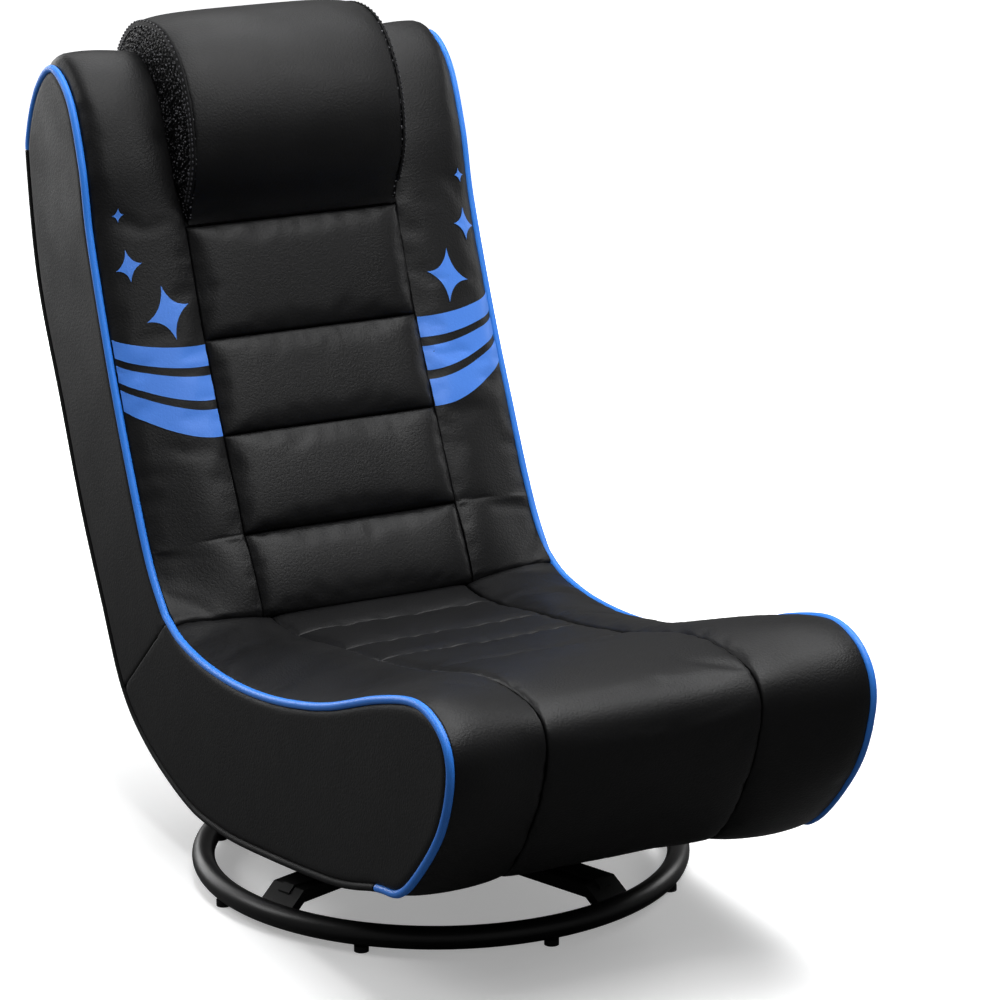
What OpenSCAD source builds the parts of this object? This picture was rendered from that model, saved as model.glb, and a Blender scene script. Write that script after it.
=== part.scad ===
// Floor gaming chair: a padded shell of seat and backrest that folds in half at the crease and turns on
// a round tube base. Frame: +X to the sitter's left, +Y to the rear, +Z up, floor at z = 0, origin under
// the middle of the bounding box. Lengths in mm.

/* [Overall] */
// Width over both side panels
chair_w = 422; // [410:1:440]
// Distance of the swivel axis from the middle of the chair's length, rearwards
swivel_y = -35; // [-40:1:-30]

/* [Upholstery] */
// Half width of the channelled panel of the backrest
back_seam_x = 114; // [106:1:122]
// Half width of the channelled panel of the seat
seat_seam_x = 106; // [98:1:112]
// Thickness of the padded side panels
side_t = 6.5; // [5:0.5:8]
// Thickness of the padded rear panel of the backrest
rear_t = 10; // [8:1:14]
// Thickness of the cloth under the seat and of the covers in the fold
cloth_t = 2; // [1.5:0.5:3]
// Radius of the piping and of the black welt
cord_r = 3.3; // [2.8:0.1:3.5]
// Rise of a sewn channel above its stitched lines on the backrest
back_channel = 7; // [3:0.5:9]
// Rise of a sewn channel above its stitched lines on the seat
seat_channel = 4; // [2:0.5:6]
// Crown of the side bolsters between their seams
bolster_crown = 5; // [3:0.5:8]
// Height of the bolsters above the piping where they turn down to it
shoulder_h = 8; // [4:0.5:11]
// Crown of the headrest across its width
headrest_crown = 4; // [3:0.5:9]
// Thickness of the mesh side walls of the headrest
gusset_t = 3.5; // [2.5:0.5:5]

/* [Inner frame] */
// Width of the square steel tube
frame_w = 20; // [18:1:22]
// Wall of the square steel tube
frame_wall = 1.5; // [1.2:0.1:2]
// Half distance between the outer faces of the seat rails
rail_x = 160; // [150:1:164]
// Thickness of the hinge plates
plate_t = 4; // [3:0.5:5]
// Radius of the rounded ends of the hinge plates
eye_r = 9; // [8:0.5:9]
// Radius of the hinge pins
pin_r = 4; // [3.5:0.5:4]

/* [Base] */
// Radius of the ring, to the middle of its tube
ring_r = 230; // [220:1:240]
// Diameter of the ring's tube
tube_d = 22; // [20:1:25]
// Wall of the ring's tube
tube_wall = 1.8; // [1.5:0.1:2.2]
// Height of the plug feet below the ring
foot_h = 6; // [5:0.5:8]
// Radius of the plug feet
foot_r = 7; // [6:0.5:8]
// Number of plug feet
foot_n = 8; // [4:1:8]
// Width of the four arms
arm_w = 40; // [32:1:46]
// Depth of the four arms, which are channels open below
arm_h = 12; // [10:1:14]
// Height of the flat middle of the arms
arm_top = 38; // [34:0.5:38.5]
// Angle at which the arms climb from the ring
arm_slope = 38; // [30:1:50]
// Width of the rib pressed into each arm
rib_w = 14; // [10:1:18]
// Height of the rib pressed into each arm
rib_h = 2; // [1:0.5:3]
// Angle of the first arm from the chair's front
arm_turn = 20; // [0:0.5:45]

/* [Swivel] */
// Width of the square upper plate
upper_w = 170; // [160:1:180]
// Thickness of both plates
swivel_t = 3; // [2.5:0.5:4]
// Distance between the two plates
swivel_gap = 3; // [3:0.5:4]
// Radius of the bearing balls
ball_r = 3; // [2.5:0.1:3]
// Number of bearing balls
ball_n = 16; // [12:1:20]
// Radius of the circle of balls
race_r = 50; // [44:1:60]
// Half spacing of the four mounting bolts
bolt_x = 70; // [66:1:74]
// Radius of the mounting bolts
bolt_r = 4; // [3:0.5:4]

/* [Hidden] */
$fn = 48;

gap = 0.3;
running = 0.05;
// Longer than the chair, for cuts that pass right through it.
reach = 900;
eps = 0.01;
half_w = chair_w / 2;
foam_x = half_w - side_t - 0.5;
pad_x = foam_x - gap;

// Side outline of the chair, clockwise from the crease: distance behind the swivel axis, height, rise of
// the cover along its inner seam, depth of its padding, rise of the headrest.
outline = [
  [184, 243, -5, 8, 0],
  [218, 285, 25, 28, 0],
  [264, 376, 25, 32, 0],
  [303, 466, 22, 32, 10],
  [342, 574, 20, 32, 22],
  [358, 645, 12, 32, 60],
  [387, 708, 8, 30, 64],
  [433, 732, 6, 23, 36],
  [476, 705, 4, 28, 25],
  [505, 655, 0, 24, 6],
  [508, 612, 0, 10, 0],
  [488, 500, 0, 10, 0],
  [437, 389, 0, 10, 0],
  [389, 285, 0, 10, 0],
  [342, 203, 0, 10, 0],
  [293, 123, 0, 10, 0],
  [229, 80, 0, 3, 0],
  [135, 52, 0, 3, 0],
  [62, 49, 0, 3, 0],
  [-21, 57, 0, 3, 0],
  [-200, 86, 0, 3, 0],
  [-293, 112, 0, 22, 0],
  [-340, 123, -4, 28, 0],
  [-379, 154, -8, 32, 0],
  [-423, 206, -14, 32, 0],
  [-443, 255, -18, 31, 0],
  [-440, 290, -18, 28, 0],
  [-414, 312, -14, 30, 0],
  [-371, 317, -10, 32, 0],
  [-300, 298, 4, 32, 0],
  [-200, 261, 16, 32, 0],
  [-130, 241, 21, 32, 0],
  [-60, 226, 24, 32, 0],
  [10, 217, 22, 32, 0],
  [80, 215, 11, 30, 0],
  [137, 221, 3, 18, 0],
  [168, 232, -4, 7, 0]
];
top_end = 9;
rear_end = 15;
under_end = 21;
roll_end = 30;
crease = 36;
headrest_start = 4;
// Stitched lines of the channelled panels, as places on the outline.
back_stitched = [0, 1, 2, 3, headrest_start];
seat_stitched = [roll_end, 31.5, 32.625, 34.25, crease];

// The fold: hinge axis below the crease, and the flat split from the crease to the rear corner.
hinge = [174 + swivel_y, 216];
split_start = [outline[crease][0] + swivel_y, outline[crease][1]];
rear_corner = [outline[rear_end][0] + swivel_y, outline[rear_end][1]];
along = (rear_corner - split_start) / norm(rear_corner - split_start);
across = [-along[1], along[0]];
knuckle_r = 24;

// Inner frame, as points on the side view.
rail_front = [-330 + swivel_y, 185];
rail_bend = [-75 + swivel_y, 97];
rail_rear = [215 + swivel_y, 97];
upright_foot = [285 + swivel_y, 262];
upright_head = [440 + swivel_y, 625];
bar_y = 70;
washer_t = 1.5;
plate_gap = 0.1;
seat_plate_x = rail_x;
washer_x = seat_plate_x + plate_t;
back_plate_x = washer_x + washer_t + plate_gap;
pin_head_x = back_plate_x + plate_t + plate_gap;
upright_x = back_plate_x - frame_w;

// Heights of the base, from the floor up.
ring_z = foot_h + tube_d / 2;
lower_z = arm_top;
race_z = lower_z + swivel_t + swivel_gap / 2;
upper_z = lower_z + swivel_t + swivel_gap;
spacer_z = upper_z + swivel_t;
lower_r = upper_w / 2;
bar_z = rail_rear[1] - frame_w / 2;
arm_foot = ring_z + 2;
arm_bend = ring_r - (arm_top - arm_foot) / tan(arm_slope);
// The ribs start outside the circle on which the bolt heads turn.
rib_start = norm([bolt_x, bar_y]) + 2 * bolt_r + 4;
rib_end = ring_r - tube_d / 2 - 6;
rivet_r = 8;
rivet_head_r = 13;
rivet_head_h = 2;

function knot(i) = outline[(i + len(outline)) % len(outline)];
function spline(a, b, c, d, t) =
  0.5 * (2 * b + (c - a) * t + (2 * a - 5 * b + 4 * c - d) * t * t + (3 * b - a - 3 * c + d) * t * t * t);
function slope(a, b, c, d, t) =
  0.5 * ((c - a) + 2 * (2 * a - 5 * b + 4 * c - d) * t + 3 * (3 * b - a - 3 * c + d) * t * t);
function at(u) = let (i = floor(u)) spline(knot(i - 1), knot(i), knot(i + 1), knot(i + 2), u - i);
function outward(u) =
  let (i = floor(u), d = slope(knot(i - 1), knot(i), knot(i + 1), knot(i + 2), u - i), l = norm([d[0], d[1]]))
  [-d[1] / l, d[0] / l];
function lift(u, h) = let (p = at(u), n = outward(u)) [p[0] + swivel_y + n[0] * h, p[1] + n[1] * h];
function steps(a, b, n) = [for (k = [0:n]) a + (b - a) * k / n];
// Rows from a to b, n to each span of the outline.
function rows(a, b, n) = concat([a], [for (k = [floor(a * n + eps) + 1:ceil(b * n - eps) - 1]) k / n], [b]);
// Point of the straight-sided underside that all paddings and foams share, four sides to each span.
function ply(u, f) = let (a = floor(4 * u) / 4, b = a + 0.25, t = 4 * (u - a))
  lift(a, f(a)) * (1 - t) + lift(b, f(b)) * t;
function mix(a, b, t) = a + (b - a) * t;
function seam(u) = at(u)[2];
function depth(u) = at(u)[3];
function rise(u) = at(u)[4];
// Share of its full crown that a padding keeps where it thins out towards the crease.
function full(u) = min(1, (seam(u) + depth(u)) / 20);
// Swell of a sewn channel between two neighbouring stitched lines, given as places on the outline.
function channel(u, stitched) =
  let (k = max([for (i = [0:len(stitched) - 2]) if (u >= stitched[i]) i]))
  pow(max(0, sin(180 * (u - stitched[k]) / (stitched[k + 1] - stitched[k]))), 0.5);

// A solid drawn in side view, from one x to another.
module slab(x0, x1) {
  translate([x0, 0, 0]) rotate([90, 0, 90]) linear_extrude(x1 - x0) children();
}

module both_sides() {
  children();
  mirror([1, 0, 0]) children();
}

module outline_2d(inset) {
  polygon([for (u = rows(0, len(outline) - 0.25, 4)) lift(u, -inset)]);
}

// The outline less the covers on each side of it.
module core_2d() {
  polygon(concat(
    [for (u = rows(0, top_end, 4)) lift(u, -depth(u) - gap)],
    [for (u = rows(top_end, rear_end, 4)) lift(u, -rear_t - gap)],
    [for (u = rows(rear_end, under_end, 4)) lift(u, -cloth_t - gap)],
    [for (u = rows(under_end, len(outline) - 0.25, 4)) lift(u, -depth(u) - gap)]
  ));
}

function split(a, b) = split_start + along * a + across * b;
module back_zone(g, r) {
  difference() {
    polygon([split(-reach, g), split(reach, g), split(reach, reach), split(-reach, reach)]);
    translate(hinge) circle(r);
  }
}

module seat_zone(g) {
  polygon([split(-reach, -g), split(reach, -g), split(reach, -reach), split(-reach, -reach)]);
  translate(hinge) circle(knuckle_r);
}

// A padded piece along the outline: rows at us, columns at xs, cover heights tops, underside at f(u).
module cushion(us, xs, tops, f) {
  nu = len(us);
  nv = len(xs);
  under = nu * nv;
  points = concat(
    [for (i = [0:nu - 1]) for (j = [0:nv - 1]) let (p = lift(us[i], tops[i][j])) [xs[j], p[0], p[1]]],
    [for (i = [0:nu - 1]) for (x = [xs[0], xs[nv - 1]]) let (p = ply(us[i], f)) [x, p[0], p[1]]]
  );
  faces = concat(
    [for (i = [0:nu - 2]) for (j = [0:nv - 2])
      each [[i * nv + j, (i + 1) * nv + j + 1, i * nv + j + 1], [i * nv + j, (i + 1) * nv + j, (i + 1) * nv + j + 1]]],
    [for (i = [0:nu - 2]) let (b = under + 2 * i)
      each [[b, b + 1, b + 3], [b, b + 3, b + 2]]],
    [for (i = [0:nu - 2]) let (b = under + 2 * i, t = i * nv)
      each [[b, b + 2, t + nv], [b, t + nv, t]]],
    [for (i = [0:nu - 2]) let (b = under + 2 * i + 1, t = i * nv + nv - 1)
      each [[b, t + nv, b + 2], [b, t, t + nv]]],
    [for (j = [0:nv - 2]) [under, j, j + 1]],
    [[under, nv - 1, under + 1]],
    [for (j = [0:nv - 2]) let (t = (nu - 1) * nv + j, b = under + 2 * (nu - 1)) [b, t + 1, t]],
    [let (b = under + 2 * (nu - 1)) [b, b + 1, nu * nv - 1]]
  );
  polyhedron(points, faces);
}

// A round cord along the edge of the cover.
module cord(us, x) {
  sides = 6;
  n = len(us);
  points = [for (u = us) let (c = lift(u, -cord_r), d = outward(u)) for (k = [0:sides - 1])
    let (a = 360 * k / sides) [x + cord_r * sin(a), c[0] + d[0] * cord_r * cos(a), c[1] + d[1] * cord_r * cos(a)]];
  faces = concat(
    [for (i = [0:n - 2]) for (k = [0:sides - 1]) let (a = i * sides + k, b = i * sides + (k + 1) % sides)
      each [[a, b + sides, b], [a, a + sides, b + sides]]],
    [[for (k = [0:sides - 1]) k]],
    [[for (k = [sides - 1:-1:0]) (n - 1) * sides + k]]
  );
  polyhedron(points, faces);
}

// A side bolster from its inner seam to the piping: crowned, then turned down in a round shoulder.
module bolster(us, seam_x, shoulder) {
  vs = [0, 0.06, 0.2, 0.45, 0.7, 0.86, 0.93, 0.975, 1];
  xs = [for (v = vs) mix(seam_x + gap, pad_x, v)];
  tops = [for (u = us) [for (v = vs) let (
    swell = bolster_crown * full(u) * (pow(max(0, sin(180 * v)), 0.6) - 0.6),
    top = mix(seam(u), shoulder(u), v * v * (3 - 2 * v)) + swell,
    turn = max(0, (v - 0.8) / 0.2)
  ) (top + 2) * pow(1 - turn * turn, 0.5) - 2]];
  cushion(us, xs, tops, function(u) -depth(u));
}

// A middle panel with sewn channels of the given rise, or smooth where the rise is 0.
module panel(us, half, recess, rib, stitched) {
  vs = [-1, -0.94, -0.75, -0.4, 0, 0.4, 0.75, 0.94, 1];
  tops = [for (u = us) [for (v = vs)
    seam(u) + full(u) * ((rib * channel(u, stitched) + 3) * pow(1 - pow(abs(v), 6), 0.5) - recess - 3)]];
  cushion(us, [for (v = vs) v * (half - gap)], tops, function(u) -depth(u));
}

module headrest() {
  us = rows(headrest_start + 0.02, top_end - 0.1, 8);
  vs = [-1, -0.96, -0.85, -0.6, -0.3, 0, 0.3, 0.6, 0.85, 0.96, 1];
  half = back_seam_x - gusset_t - 2 * gap;
  tops = [for (u = us) [for (v = vs)
    max(rise(u) + headrest_crown * (1 - v * v) - 3 * pow(abs(v), 8), seam(u) + 1)]];
  cushion(us, [for (v = vs) v * half], tops, function(u) seam(u) - 3 + gap);
}

module headrest_gusset() {
  us = rows(headrest_start + 0.1, top_end - 0.1, 4);
  x = back_seam_x - gap;
  slab(x - gusset_t, x) polygon(concat(
    [for (u = us) lift(u, max(rise(u) - 4, seam(u) + 1))],
    [for (k = [len(us) - 1:-1:0]) lift(us[k], seam(us[k]) - 3 + gap)]
  ));
}

// Square tube between two points of the side view, along x = 0.
module tube_run(a, b, w) {
  d = b - a;
  translate([0, a[0], a[1]]) rotate([atan2(d[1], d[0]), 0, 0]) translate([-w / 2, -w / 2, -w / 2])
    cube([w, norm(d) + w, w]);
}

// Side rail of the seat in side view, mitred at its bend.
module rail_2d(w) {
  a = (rail_bend - rail_front) / norm(rail_bend - rail_front) * w / 2;
  n = [-a[1], a[0]];
  m = (n + [0, w / 2]) / (1 + n[1] / (w / 2));
  rear = rail_rear + [w / 2, 0];
  polygon([rail_front - a - n, rail_bend - m, rear - [0, w / 2], rear + [0, w / 2], rail_bend + m, rail_front - a + n]);
}

module seat_tubes(w) {
  for (s = [-1, 1]) slab(s * (rail_x - frame_w / 2) - w / 2, s * (rail_x - frame_w / 2) + w / 2) rail_2d(w);
  long = 2 * rail_x - frame_w;
  translate([-long / 2, rail_front[0] - w / 2, rail_front[1] - w / 2]) cube([long, w, w]);
  for (s = [-1, 1]) translate([-long / 2, swivel_y + s * bar_y - w / 2, rail_rear[1] - w / 2]) cube([long, w, w]);
}

module back_tubes(w) {
  mid = (upright_foot + upright_head) / 2;
  for (s = [-1, 1]) translate([s * (upright_x + frame_w / 2), 0, 0]) tube_run(upright_foot, upright_head, w);
  long = 2 * upright_x + frame_w;
  for (p = [upright_foot, mid, upright_head])
    translate([0, p[0], p[1]]) rotate([atan2(upright_head[1] - upright_foot[1], upright_head[0] - upright_foot[0]), 0, 0])
      translate([-long / 2, -w / 2, -w / 2]) cube([long, w, w]);
}

// Flat steel link in side view, with round ends.
module link_2d(a, b, r) {
  d = (b - a) / norm(b - a);
  n = [-d[1], d[0]] * r;
  translate(a) circle(r);
  translate(b) circle(r);
  polygon([a - n, b - n, b + n, a + n]);
}

module back_link_2d(r) {
  foot = upright_foot + (upright_head - upright_foot) * 0.12;
  link_2d(hinge, upright_foot, r);
  link_2d(upright_foot, foot, r);
}

module seat_link_2d(r) {
  link_2d(hinge, rail_rear, r);
}

module bolt_places() {
  for (sx = [-1, 1]) for (sy = [-1, 1]) translate([sx * bolt_x, swivel_y + sy * bar_y, 0]) children();
}

module base_ring() color([0.08, 0.08, 0.09]) translate([0, swivel_y, 0]) difference() {
  rotate_extrude($fn = 128) translate([ring_r, ring_z]) difference() {
    circle(tube_d / 2);
    circle(tube_d / 2 - tube_wall);
  }
  for (k = [0:foot_n - 1]) rotate(k * 360 / foot_n) translate([0, -ring_r, 0]) cylinder(r = 3 + running, h = ring_z);
}

module arm_run(w, drop, h, inner_end, outer_end) rotate([90, 0, 90]) translate([0, 0, -w / 2])
  linear_extrude(w) intersection() {
    polygon([
      [arm_w / 2, arm_top - drop], [-arm_bend, arm_top - drop], [-ring_r, arm_foot - drop],
      [-ring_r, arm_foot - drop - h], [-arm_bend, arm_top - drop - h], [arm_w / 2, arm_top - drop - h]
    ]);
    translate([-outer_end, -reach]) square([outer_end - inner_end, 2 * reach]);
  }

module base_arms() color([0.08, 0.08, 0.09]) translate([0, swivel_y, 0]) rotate(arm_turn) difference() {
  for (k = [0:3]) rotate(k * 90) {
    arm_run(arm_w, 0, arm_h, -arm_w / 2, ring_r);
    arm_run(rib_w, -rib_h, arm_h, rib_start, rib_end);
  }
  for (k = [0:3]) rotate(k * 90) {
    arm_run(arm_w - 2 * tube_wall, tube_wall, arm_h, -arm_w / 2, ring_r);
    arm_run(rib_w - 2 * tube_wall, tube_wall - rib_h, arm_h, rib_start + tube_wall, rib_end - tube_wall);
  }
  rotate_extrude($fn = 128) translate([ring_r, ring_z]) {
    circle(tube_d / 2 + gap);
    translate([0, -tube_d]) square([2 * tube_d, 2 * tube_d]);
  }
  translate([0, 0, lower_z - tube_wall - 1]) cylinder(r = rivet_head_r + 4, h = tube_wall + 2);
}

module base_feet() color([0.12, 0.12, 0.13]) translate([0, swivel_y, 0])
  for (k = [0:foot_n - 1]) rotate(k * 360 / foot_n) translate([0, -ring_r, 0]) {
    cylinder(r = foot_r, h = foot_h - 0.2);
    cylinder(r = 3, h = foot_h + tube_wall + 3);
  }

module race(z) {
  translate([0, 0, z]) rotate_extrude($fn = 96) translate([race_r, 0]) circle(ball_r + 0.2);
}

module swivel_lower_plate() color([0.35, 0.36, 0.38]) translate([0, swivel_y, 0]) difference() {
  translate([0, 0, lower_z]) cylinder(r = lower_r, h = swivel_t, $fn = 96);
  race(race_z);
  translate([0, 0, lower_z - 1]) cylinder(r = rivet_r + running, h = swivel_t + 2);
}

module swivel_upper_plate() color([0.35, 0.36, 0.38]) difference() {
  translate([-upper_w / 2, swivel_y - upper_w / 2, upper_z]) cube([upper_w, upper_w, swivel_t]);
  translate([0, swivel_y, 0]) race(race_z);
  translate([0, swivel_y, upper_z - 1]) cylinder(r = rivet_r + running, h = swivel_t + 2);
  bolt_places() translate([0, 0, upper_z - 1]) cylinder(r = bolt_r + gap, h = swivel_t + 2);
}

module swivel_balls() color([0.7, 0.7, 0.72]) translate([0, swivel_y, race_z])
  for (k = [0:ball_n - 1]) rotate(k * 360 / ball_n) translate([race_r, 0, 0]) sphere(r = ball_r, $fn = 24);

module swivel_cage() color([0.6, 0.55, 0.35]) translate([0, swivel_y, race_z]) difference() {
  translate([0, 0, -0.5]) cylinder(r = race_r + 6, h = 1, $fn = 96);
  translate([0, 0, -1]) cylinder(r = race_r - 6, h = 2, $fn = 96);
  for (k = [0:ball_n - 1]) rotate(k * 360 / ball_n) translate([race_r, 0, -1]) cylinder(r = ball_r + 0.1, h = 2);
}

module swivel_rivet() color([0.55, 0.56, 0.58]) translate([0, swivel_y, 0]) difference() {
  union() {
    translate([0, 0, lower_z - rivet_head_h]) cylinder(r = rivet_head_r, h = rivet_head_h);
    translate([0, 0, lower_z - eps]) cylinder(r = rivet_r, h = spacer_z - lower_z + 0.2);
    translate([0, 0, spacer_z + 0.1]) cylinder(r = rivet_head_r, h = rivet_head_h);
  }
  translate([0, 0, lower_z - rivet_head_h - 1]) cylinder(r = rivet_r - 3, h = 30);
}

module swivel_spacers() color([0.5, 0.5, 0.52]) bolt_places() translate([0, 0, spacer_z]) difference() {
  cylinder(r = 2 * bolt_r, h = bar_z - spacer_z);
  translate([0, 0, -1]) cylinder(r = bolt_r + gap, h = bar_z - spacer_z + 2);
}

module swivel_bolts() color([0.6, 0.6, 0.62]) bolt_places() {
  translate([0, 0, upper_z - bolt_r]) cylinder(r = bolt_r + 2.5, h = bolt_r);
  translate([0, 0, upper_z - eps]) cylinder(r = bolt_r, h = bar_z + frame_w + 9 - upper_z);
}

module swivel_nuts() color([0.6, 0.6, 0.62]) bolt_places() translate([0, 0, bar_z + frame_w]) difference() {
  cylinder(r = 1.8 * bolt_r, h = 6.5);
  translate([0, 0, -1]) cylinder(r = bolt_r + running, h = 9);
}

module seat_frame() color([0.2, 0.2, 0.22]) difference() {
  seat_tubes(frame_w);
  seat_tubes(frame_w - 2 * frame_wall);
  bolt_places() translate([0, 0, bar_z - 1]) cylinder(r = bolt_r + gap, h = frame_w + 2);
}

module seat_hinge_plates() color([0.4, 0.4, 0.42]) both_sides() slab(seat_plate_x, seat_plate_x + plate_t)
  difference() {
    seat_link_2d(eye_r);
    translate(hinge) circle(pin_r + running);
  }

module back_hinge_plates() color([0.4, 0.4, 0.42]) both_sides() slab(back_plate_x, back_plate_x + plate_t)
  difference() {
    back_link_2d(eye_r);
    translate(hinge) circle(pin_r + running);
  }

module hinge_pins() color([0.6, 0.6, 0.62]) both_sides() {
  slab(seat_plate_x - 9, pin_head_x + eps) translate(hinge) circle(pin_r);
  slab(pin_head_x, pin_head_x + 3) translate(hinge) circle(2 * pin_r);
}

module hinge_nuts() color([0.6, 0.6, 0.62]) both_sides() slab(seat_plate_x - 6.5, seat_plate_x) difference() {
  translate(hinge) circle(1.8 * pin_r);
  translate(hinge) circle(pin_r + running);
}

module hinge_washers() color([0.85, 0.85, 0.82]) both_sides() slab(washer_x, washer_x + washer_t) difference() {
  translate(hinge) circle(eye_r - 0.5);
  translate(hinge) circle(pin_r + running);
}

// Slots that the backrest's hinge plates sweep through in the covers over the knuckle.
module hinge_slots() {
  both_sides() slab(back_plate_x - gap, back_plate_x + plate_t + gap) translate(hinge) circle(knuckle_r + gap);
}

// Room in the foam for the hinge plates and the pin.
module hinge_room() {
  both_sides() {
    slab(seat_plate_x - 12, pin_head_x + 5) translate(hinge) circle(knuckle_r + gap);
    slab(seat_plate_x - gap, seat_plate_x + plate_t + gap) seat_link_2d(eye_r + gap);
    slab(back_plate_x - gap, back_plate_x + plate_t + gap) back_link_2d(eye_r + gap);
  }
}

module seat_foam() color([0.85, 0.8, 0.62]) difference() {
  slab(-foam_x, foam_x) intersection() {
    core_2d();
    seat_zone(cloth_t + 2 * gap);
  }
  seat_tubes(frame_w + 2 * gap);
  hinge_room();
  bolt_places() cylinder(r = 2 * bolt_r + gap, h = bar_z + frame_w + 10);
}

module back_foam() color([0.85, 0.8, 0.62]) difference() {
  slab(-foam_x, foam_x) intersection() {
    core_2d();
    back_zone(cloth_t + 2 * gap, knuckle_r + gap);
  }
  back_tubes(frame_w + 2 * gap);
  hinge_room();
}

module seat_centre_panel() color([0.1, 0.1, 0.11])
  panel(rows(roll_end, crease, 8), seat_seam_x, 3, seat_channel, seat_stitched);

module seat_front_roll() color([0.1, 0.1, 0.11])
  panel(rows(under_end, roll_end - 0.01, 4), seat_seam_x, 0, 0, [under_end, roll_end]);

module seat_wing() difference() {
  bolster(rows(under_end, crease, 4), seat_seam_x, function(u) 0);
  hinge_slots();
}
module seat_wing_left() color([0.12, 0.12, 0.13]) seat_wing();
module seat_wing_right() color([0.12, 0.12, 0.13]) mirror([1, 0, 0]) seat_wing();

module seat_side() slab(foam_x, foam_x + side_t) intersection() {
  outline_2d(2 * cord_r + gap);
  seat_zone(gap / 2);
}
module seat_side_left() color([0.1, 0.1, 0.11]) seat_side();
module seat_side_right() color([0.1, 0.1, 0.11]) mirror([1, 0, 0]) seat_side();

cord_x = half_w - cord_r;
module seat_piping() cord(steps(under_end + 0.02, crease + 0.3, 46), cord_x);
module seat_piping_left() color([0.1, 0.3, 0.85]) seat_piping();
module seat_piping_right() color([0.1, 0.3, 0.85]) mirror([1, 0, 0]) seat_piping();

module seat_welt() cord(steps(rear_end + 0.05, under_end - 0.02, 24), cord_x);
module seat_welt_left() color([0.06, 0.06, 0.07]) seat_welt();
module seat_welt_right() color([0.06, 0.06, 0.07]) mirror([1, 0, 0]) seat_welt();

module seat_bottom_cover() color([0.07, 0.07, 0.08]) difference() {
  slab(-pad_x, pad_x) intersection() {
    difference() {
      outline_2d(0);
      outline_2d(cloth_t);
    }
    seat_zone(cloth_t + 2 * gap);
    polygon([lift(under_end, -40), lift(under_end, 40), [0, -80], lift(rear_end + 0.02, 60), lift(rear_end + 0.02, -60)]);
  }
  bolt_places() cylinder(r = 2 * bolt_r + gap, h = spacer_z + bar_z);
}

module end_band_2d(b0, b1) intersection() {
  outline_2d(0.5);
  difference() {
    polygon([split(0, b0), split(reach, b0), split(reach, b1), split(0, b1)]);
    translate(hinge) circle(knuckle_r + gap);
  }
}
module seat_end_cover() color([0.08, 0.08, 0.09]) slab(-pad_x, pad_x) end_band_2d(-gap - cloth_t, -gap);
module back_end_cover() color([0.08, 0.08, 0.09]) slab(-pad_x, pad_x) end_band_2d(gap, gap + cloth_t);

// Cover of the knuckle that the fold turns on, seen at the bottom of the crease.
module crease_strip() color([0.08, 0.08, 0.09]) difference() {
  us = steps(crease + 0.03, crease + 0.9, 6);
  slab(-pad_x, pad_x) intersection() {
    polygon(concat([for (u = us) lift(u, -2.5)], [for (k = [6:-1:0]) lift(us[k], gap - depth(us[k]))]));
    translate(hinge) circle(knuckle_r);
  }
  hinge_slots();
}

module back_frame() color([0.2, 0.2, 0.22]) difference() {
  back_tubes(frame_w);
  back_tubes(frame_w - 2 * frame_wall);
}

module back_centre_panel() color([0.1, 0.1, 0.11])
  panel(rows(0, headrest_start, 8), back_seam_x, 0, back_channel, back_stitched);

module back_top_panel() color([0.1, 0.1, 0.11])
  panel(rows(headrest_start + 0.01, top_end, 4), back_seam_x, 3, 0, [headrest_start, top_end]);

module back_bolster() bolster(rows(0, top_end, 4), back_seam_x,
  function(u) shoulder_h * full(u) * min(1, u / 3, (top_end - u) / 1.2));
module back_bolster_left() color([0.12, 0.12, 0.13]) back_bolster();
module back_bolster_right() color([0.12, 0.12, 0.13]) mirror([1, 0, 0]) back_bolster();

module back_side() slab(foam_x, foam_x + side_t) intersection() {
  outline_2d(2 * cord_r + gap);
  back_zone(gap / 2, knuckle_r + gap);
}
module back_side_left() color([0.1, 0.1, 0.11]) back_side();
module back_side_right() color([0.1, 0.1, 0.11]) mirror([1, 0, 0]) back_side();

module back_piping() cord(steps(0.15, top_end - 0.02, 44), cord_x);
module back_piping_left() color([0.1, 0.3, 0.85]) back_piping();
module back_piping_right() color([0.1, 0.3, 0.85]) mirror([1, 0, 0]) back_piping();

module back_welt() cord(steps(top_end + 0.02, rear_end - 0.05, 24), cord_x);
module back_welt_left() color([0.06, 0.06, 0.07]) back_welt();
module back_welt_right() color([0.06, 0.06, 0.07]) mirror([1, 0, 0]) back_welt();

module back_rear_panel() color([0.1, 0.1, 0.11]) {
  us = rows(top_end + 0.02, rear_end - 0.06, 4);
  vs = [-1, -0.9, -0.5, 0, 0.5, 0.9, 1];
  cushion(us, [for (v = vs) v * pad_x], [for (u = us) [for (v = vs) 4 * (1 - pow(abs(v), 4)) - 3]], function(u) -rear_t);
}

module headrest_pillow() color([0.11, 0.11, 0.12]) headrest();
module headrest_gusset_left() color([0.05, 0.05, 0.06]) headrest_gusset();
module headrest_gusset_right() color([0.05, 0.05, 0.06]) mirror([1, 0, 0]) headrest_gusset();

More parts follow.
